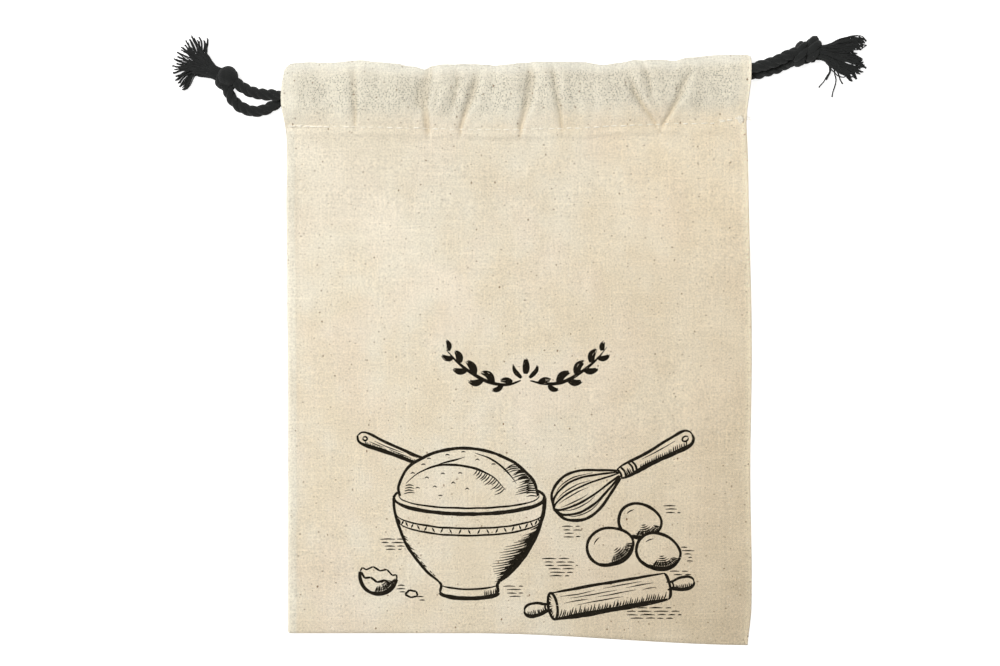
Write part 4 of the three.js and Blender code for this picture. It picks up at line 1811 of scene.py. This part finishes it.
threadFinish = {"pale": (0.96, 0.91, 0.80, 1), "dark": (0.90, 0.84, 0.72, 1), "relief": 0.08 * mm}


def threadMaterial():
    c = Shader("stitching")
    fibre = c.uneven((2600, 2600, 2600))
    colour = c.blend(fibre + 0.5, threadFinish["pale"], threadFinish["dark"])
    bump = c.bump(fibre, 0.6, threadFinish["relief"])
    return c.finish({"Base Color": colour, "Normal": bump, "Roughness": 0.8, "Sheen Weight": 0.2})


blackCotton = {
    "deep": (0.013, 0.0145, 0.0145, 1),
    "greyed": (0.026, 0.028, 0.0275, 1),
    "lint": (0.10, 0.10, 0.095, 1),
    "black": (0.0, 0.0, 0.0, 1),
    "relief": 0.15 * mm,
}


def blackCottonMaterial():
    c = Shader("black cotton")
    fibre = c.uneven((3200, 3200, 3200), 3.0, 0.6)
    lint = c.patchy((900, 900, 900)).rise(0.66, 0.8)
    dyed = c.blend(c.patchy((260, 260, 260)), blackCotton["deep"], blackCotton["greyed"])
    unshadedShare = c.xyz()[0].rise(-0.11, 0.11)  # painted shade: the cord is darker towards the left, where the key light falls stronger
    colour = c.blend(unshadedShare * 0.6, c.blend(0.4, dyed, blackCotton["black"]), dyed)
    colour = c.blend(lint * 0.35, colour, blackCotton["lint"])
    return c.finish({
        "Base Color": colour, "Normal": c.bump(fibre, 0.9, blackCotton["relief"]),
        "Roughness": 0.95, "Specular IOR Level": 0.2, "Sheen Weight": 0.06, "Sheen Roughness": 0.7,
    })


# Floor and lights
studio = {
    "floorHalf": 6.0,
    "floorDrop": 0.05 * mm,
    "floorGlow": 0.84,  # lifts the paper to white, so that its shadows stay faint
    "paper": ((0.50, 0.50, 0.50, 1), (0.53, 0.53, 0.53, 1)),
    "key": {
        "at": (-0.36, 0.20, 0.90), "aim": (0, 0.01, 0), "size": 0.36, "spread": 180,
        "power": 8.7, "colour": (0.975, 0.978, 0.96),
    },
    "fill": {
        "at": (0.30, 0.05, 1.10), "aim": (0, 0, 0), "size": 0.9, "spread": 180,
        "power": 2.0, "colour": (0.985, 0.945, 0.88),
    },
    "sky": 0.13,
}


def addFloor():
    half = studio["floorHalf"]
    mesh = bpy.data.meshes.new("floor")
    corners = [(-half, -half), (half, -half), (half, half), (-half, half)]
    mesh.from_pydata([(x, y, -studio["floorDrop"]) for x, y in corners], [], [(0, 1, 2, 3)])
    c = Shader("paper floor")
    mesh.materials.append(c.finish({
        "Base Color": c.blend(c.patchy((9, 9, 9)), *studio["paper"]),
        "Roughness": 0.9, "Specular IOR Level": 0.1,
        "Emission Color": (1, 1, 1, 1), "Emission Strength": studio["floorGlow"],
    }))
    linked("floor", mesh)


def addLights():
    for name in ("key", "fill"):
        facts = studio[name]
        data = bpy.data.lights.new(name, "AREA")
        data.shape = "DISK"
        data.size = facts["size"]
        data.spread = math.radians(facts["spread"])
        data.energy = facts["power"]
        data.color = facts["colour"]
        lamp = linked(name, data)
        lamp.location = facts["at"]
        ahead = Vector(facts["aim"]) - lamp.location
        lamp.rotation_euler = ahead.to_track_quat("-Z", "Y").to_euler()
    world = bpy.data.worlds.new("studio")
    world.use_nodes = True
    backdrop = world.node_tree.nodes["Background"]
    backdrop.inputs["Color"].default_value = (1, 1, 1, 1)
    backdrop.inputs["Strength"].default_value = studio["sky"]
    bpy.context.scene.world = world
    bpy.context.scene.view_settings.view_transform = "Standard"
    print("floor and lights made")


addCamera()
addCords(blackCottonMaterial())
cloth = addSack(calicoMaterial())
markDistances(cloth)
front, back = surfaceFinder(cloth)
addStitches(front, back, threadMaterial())
inked = inkMaterial()
addPrint("printed_picture", drawPicture(), front, inked)
addPrint("printed_flourish", drawFlourish(), front, inked)
addFloor()
addLights()
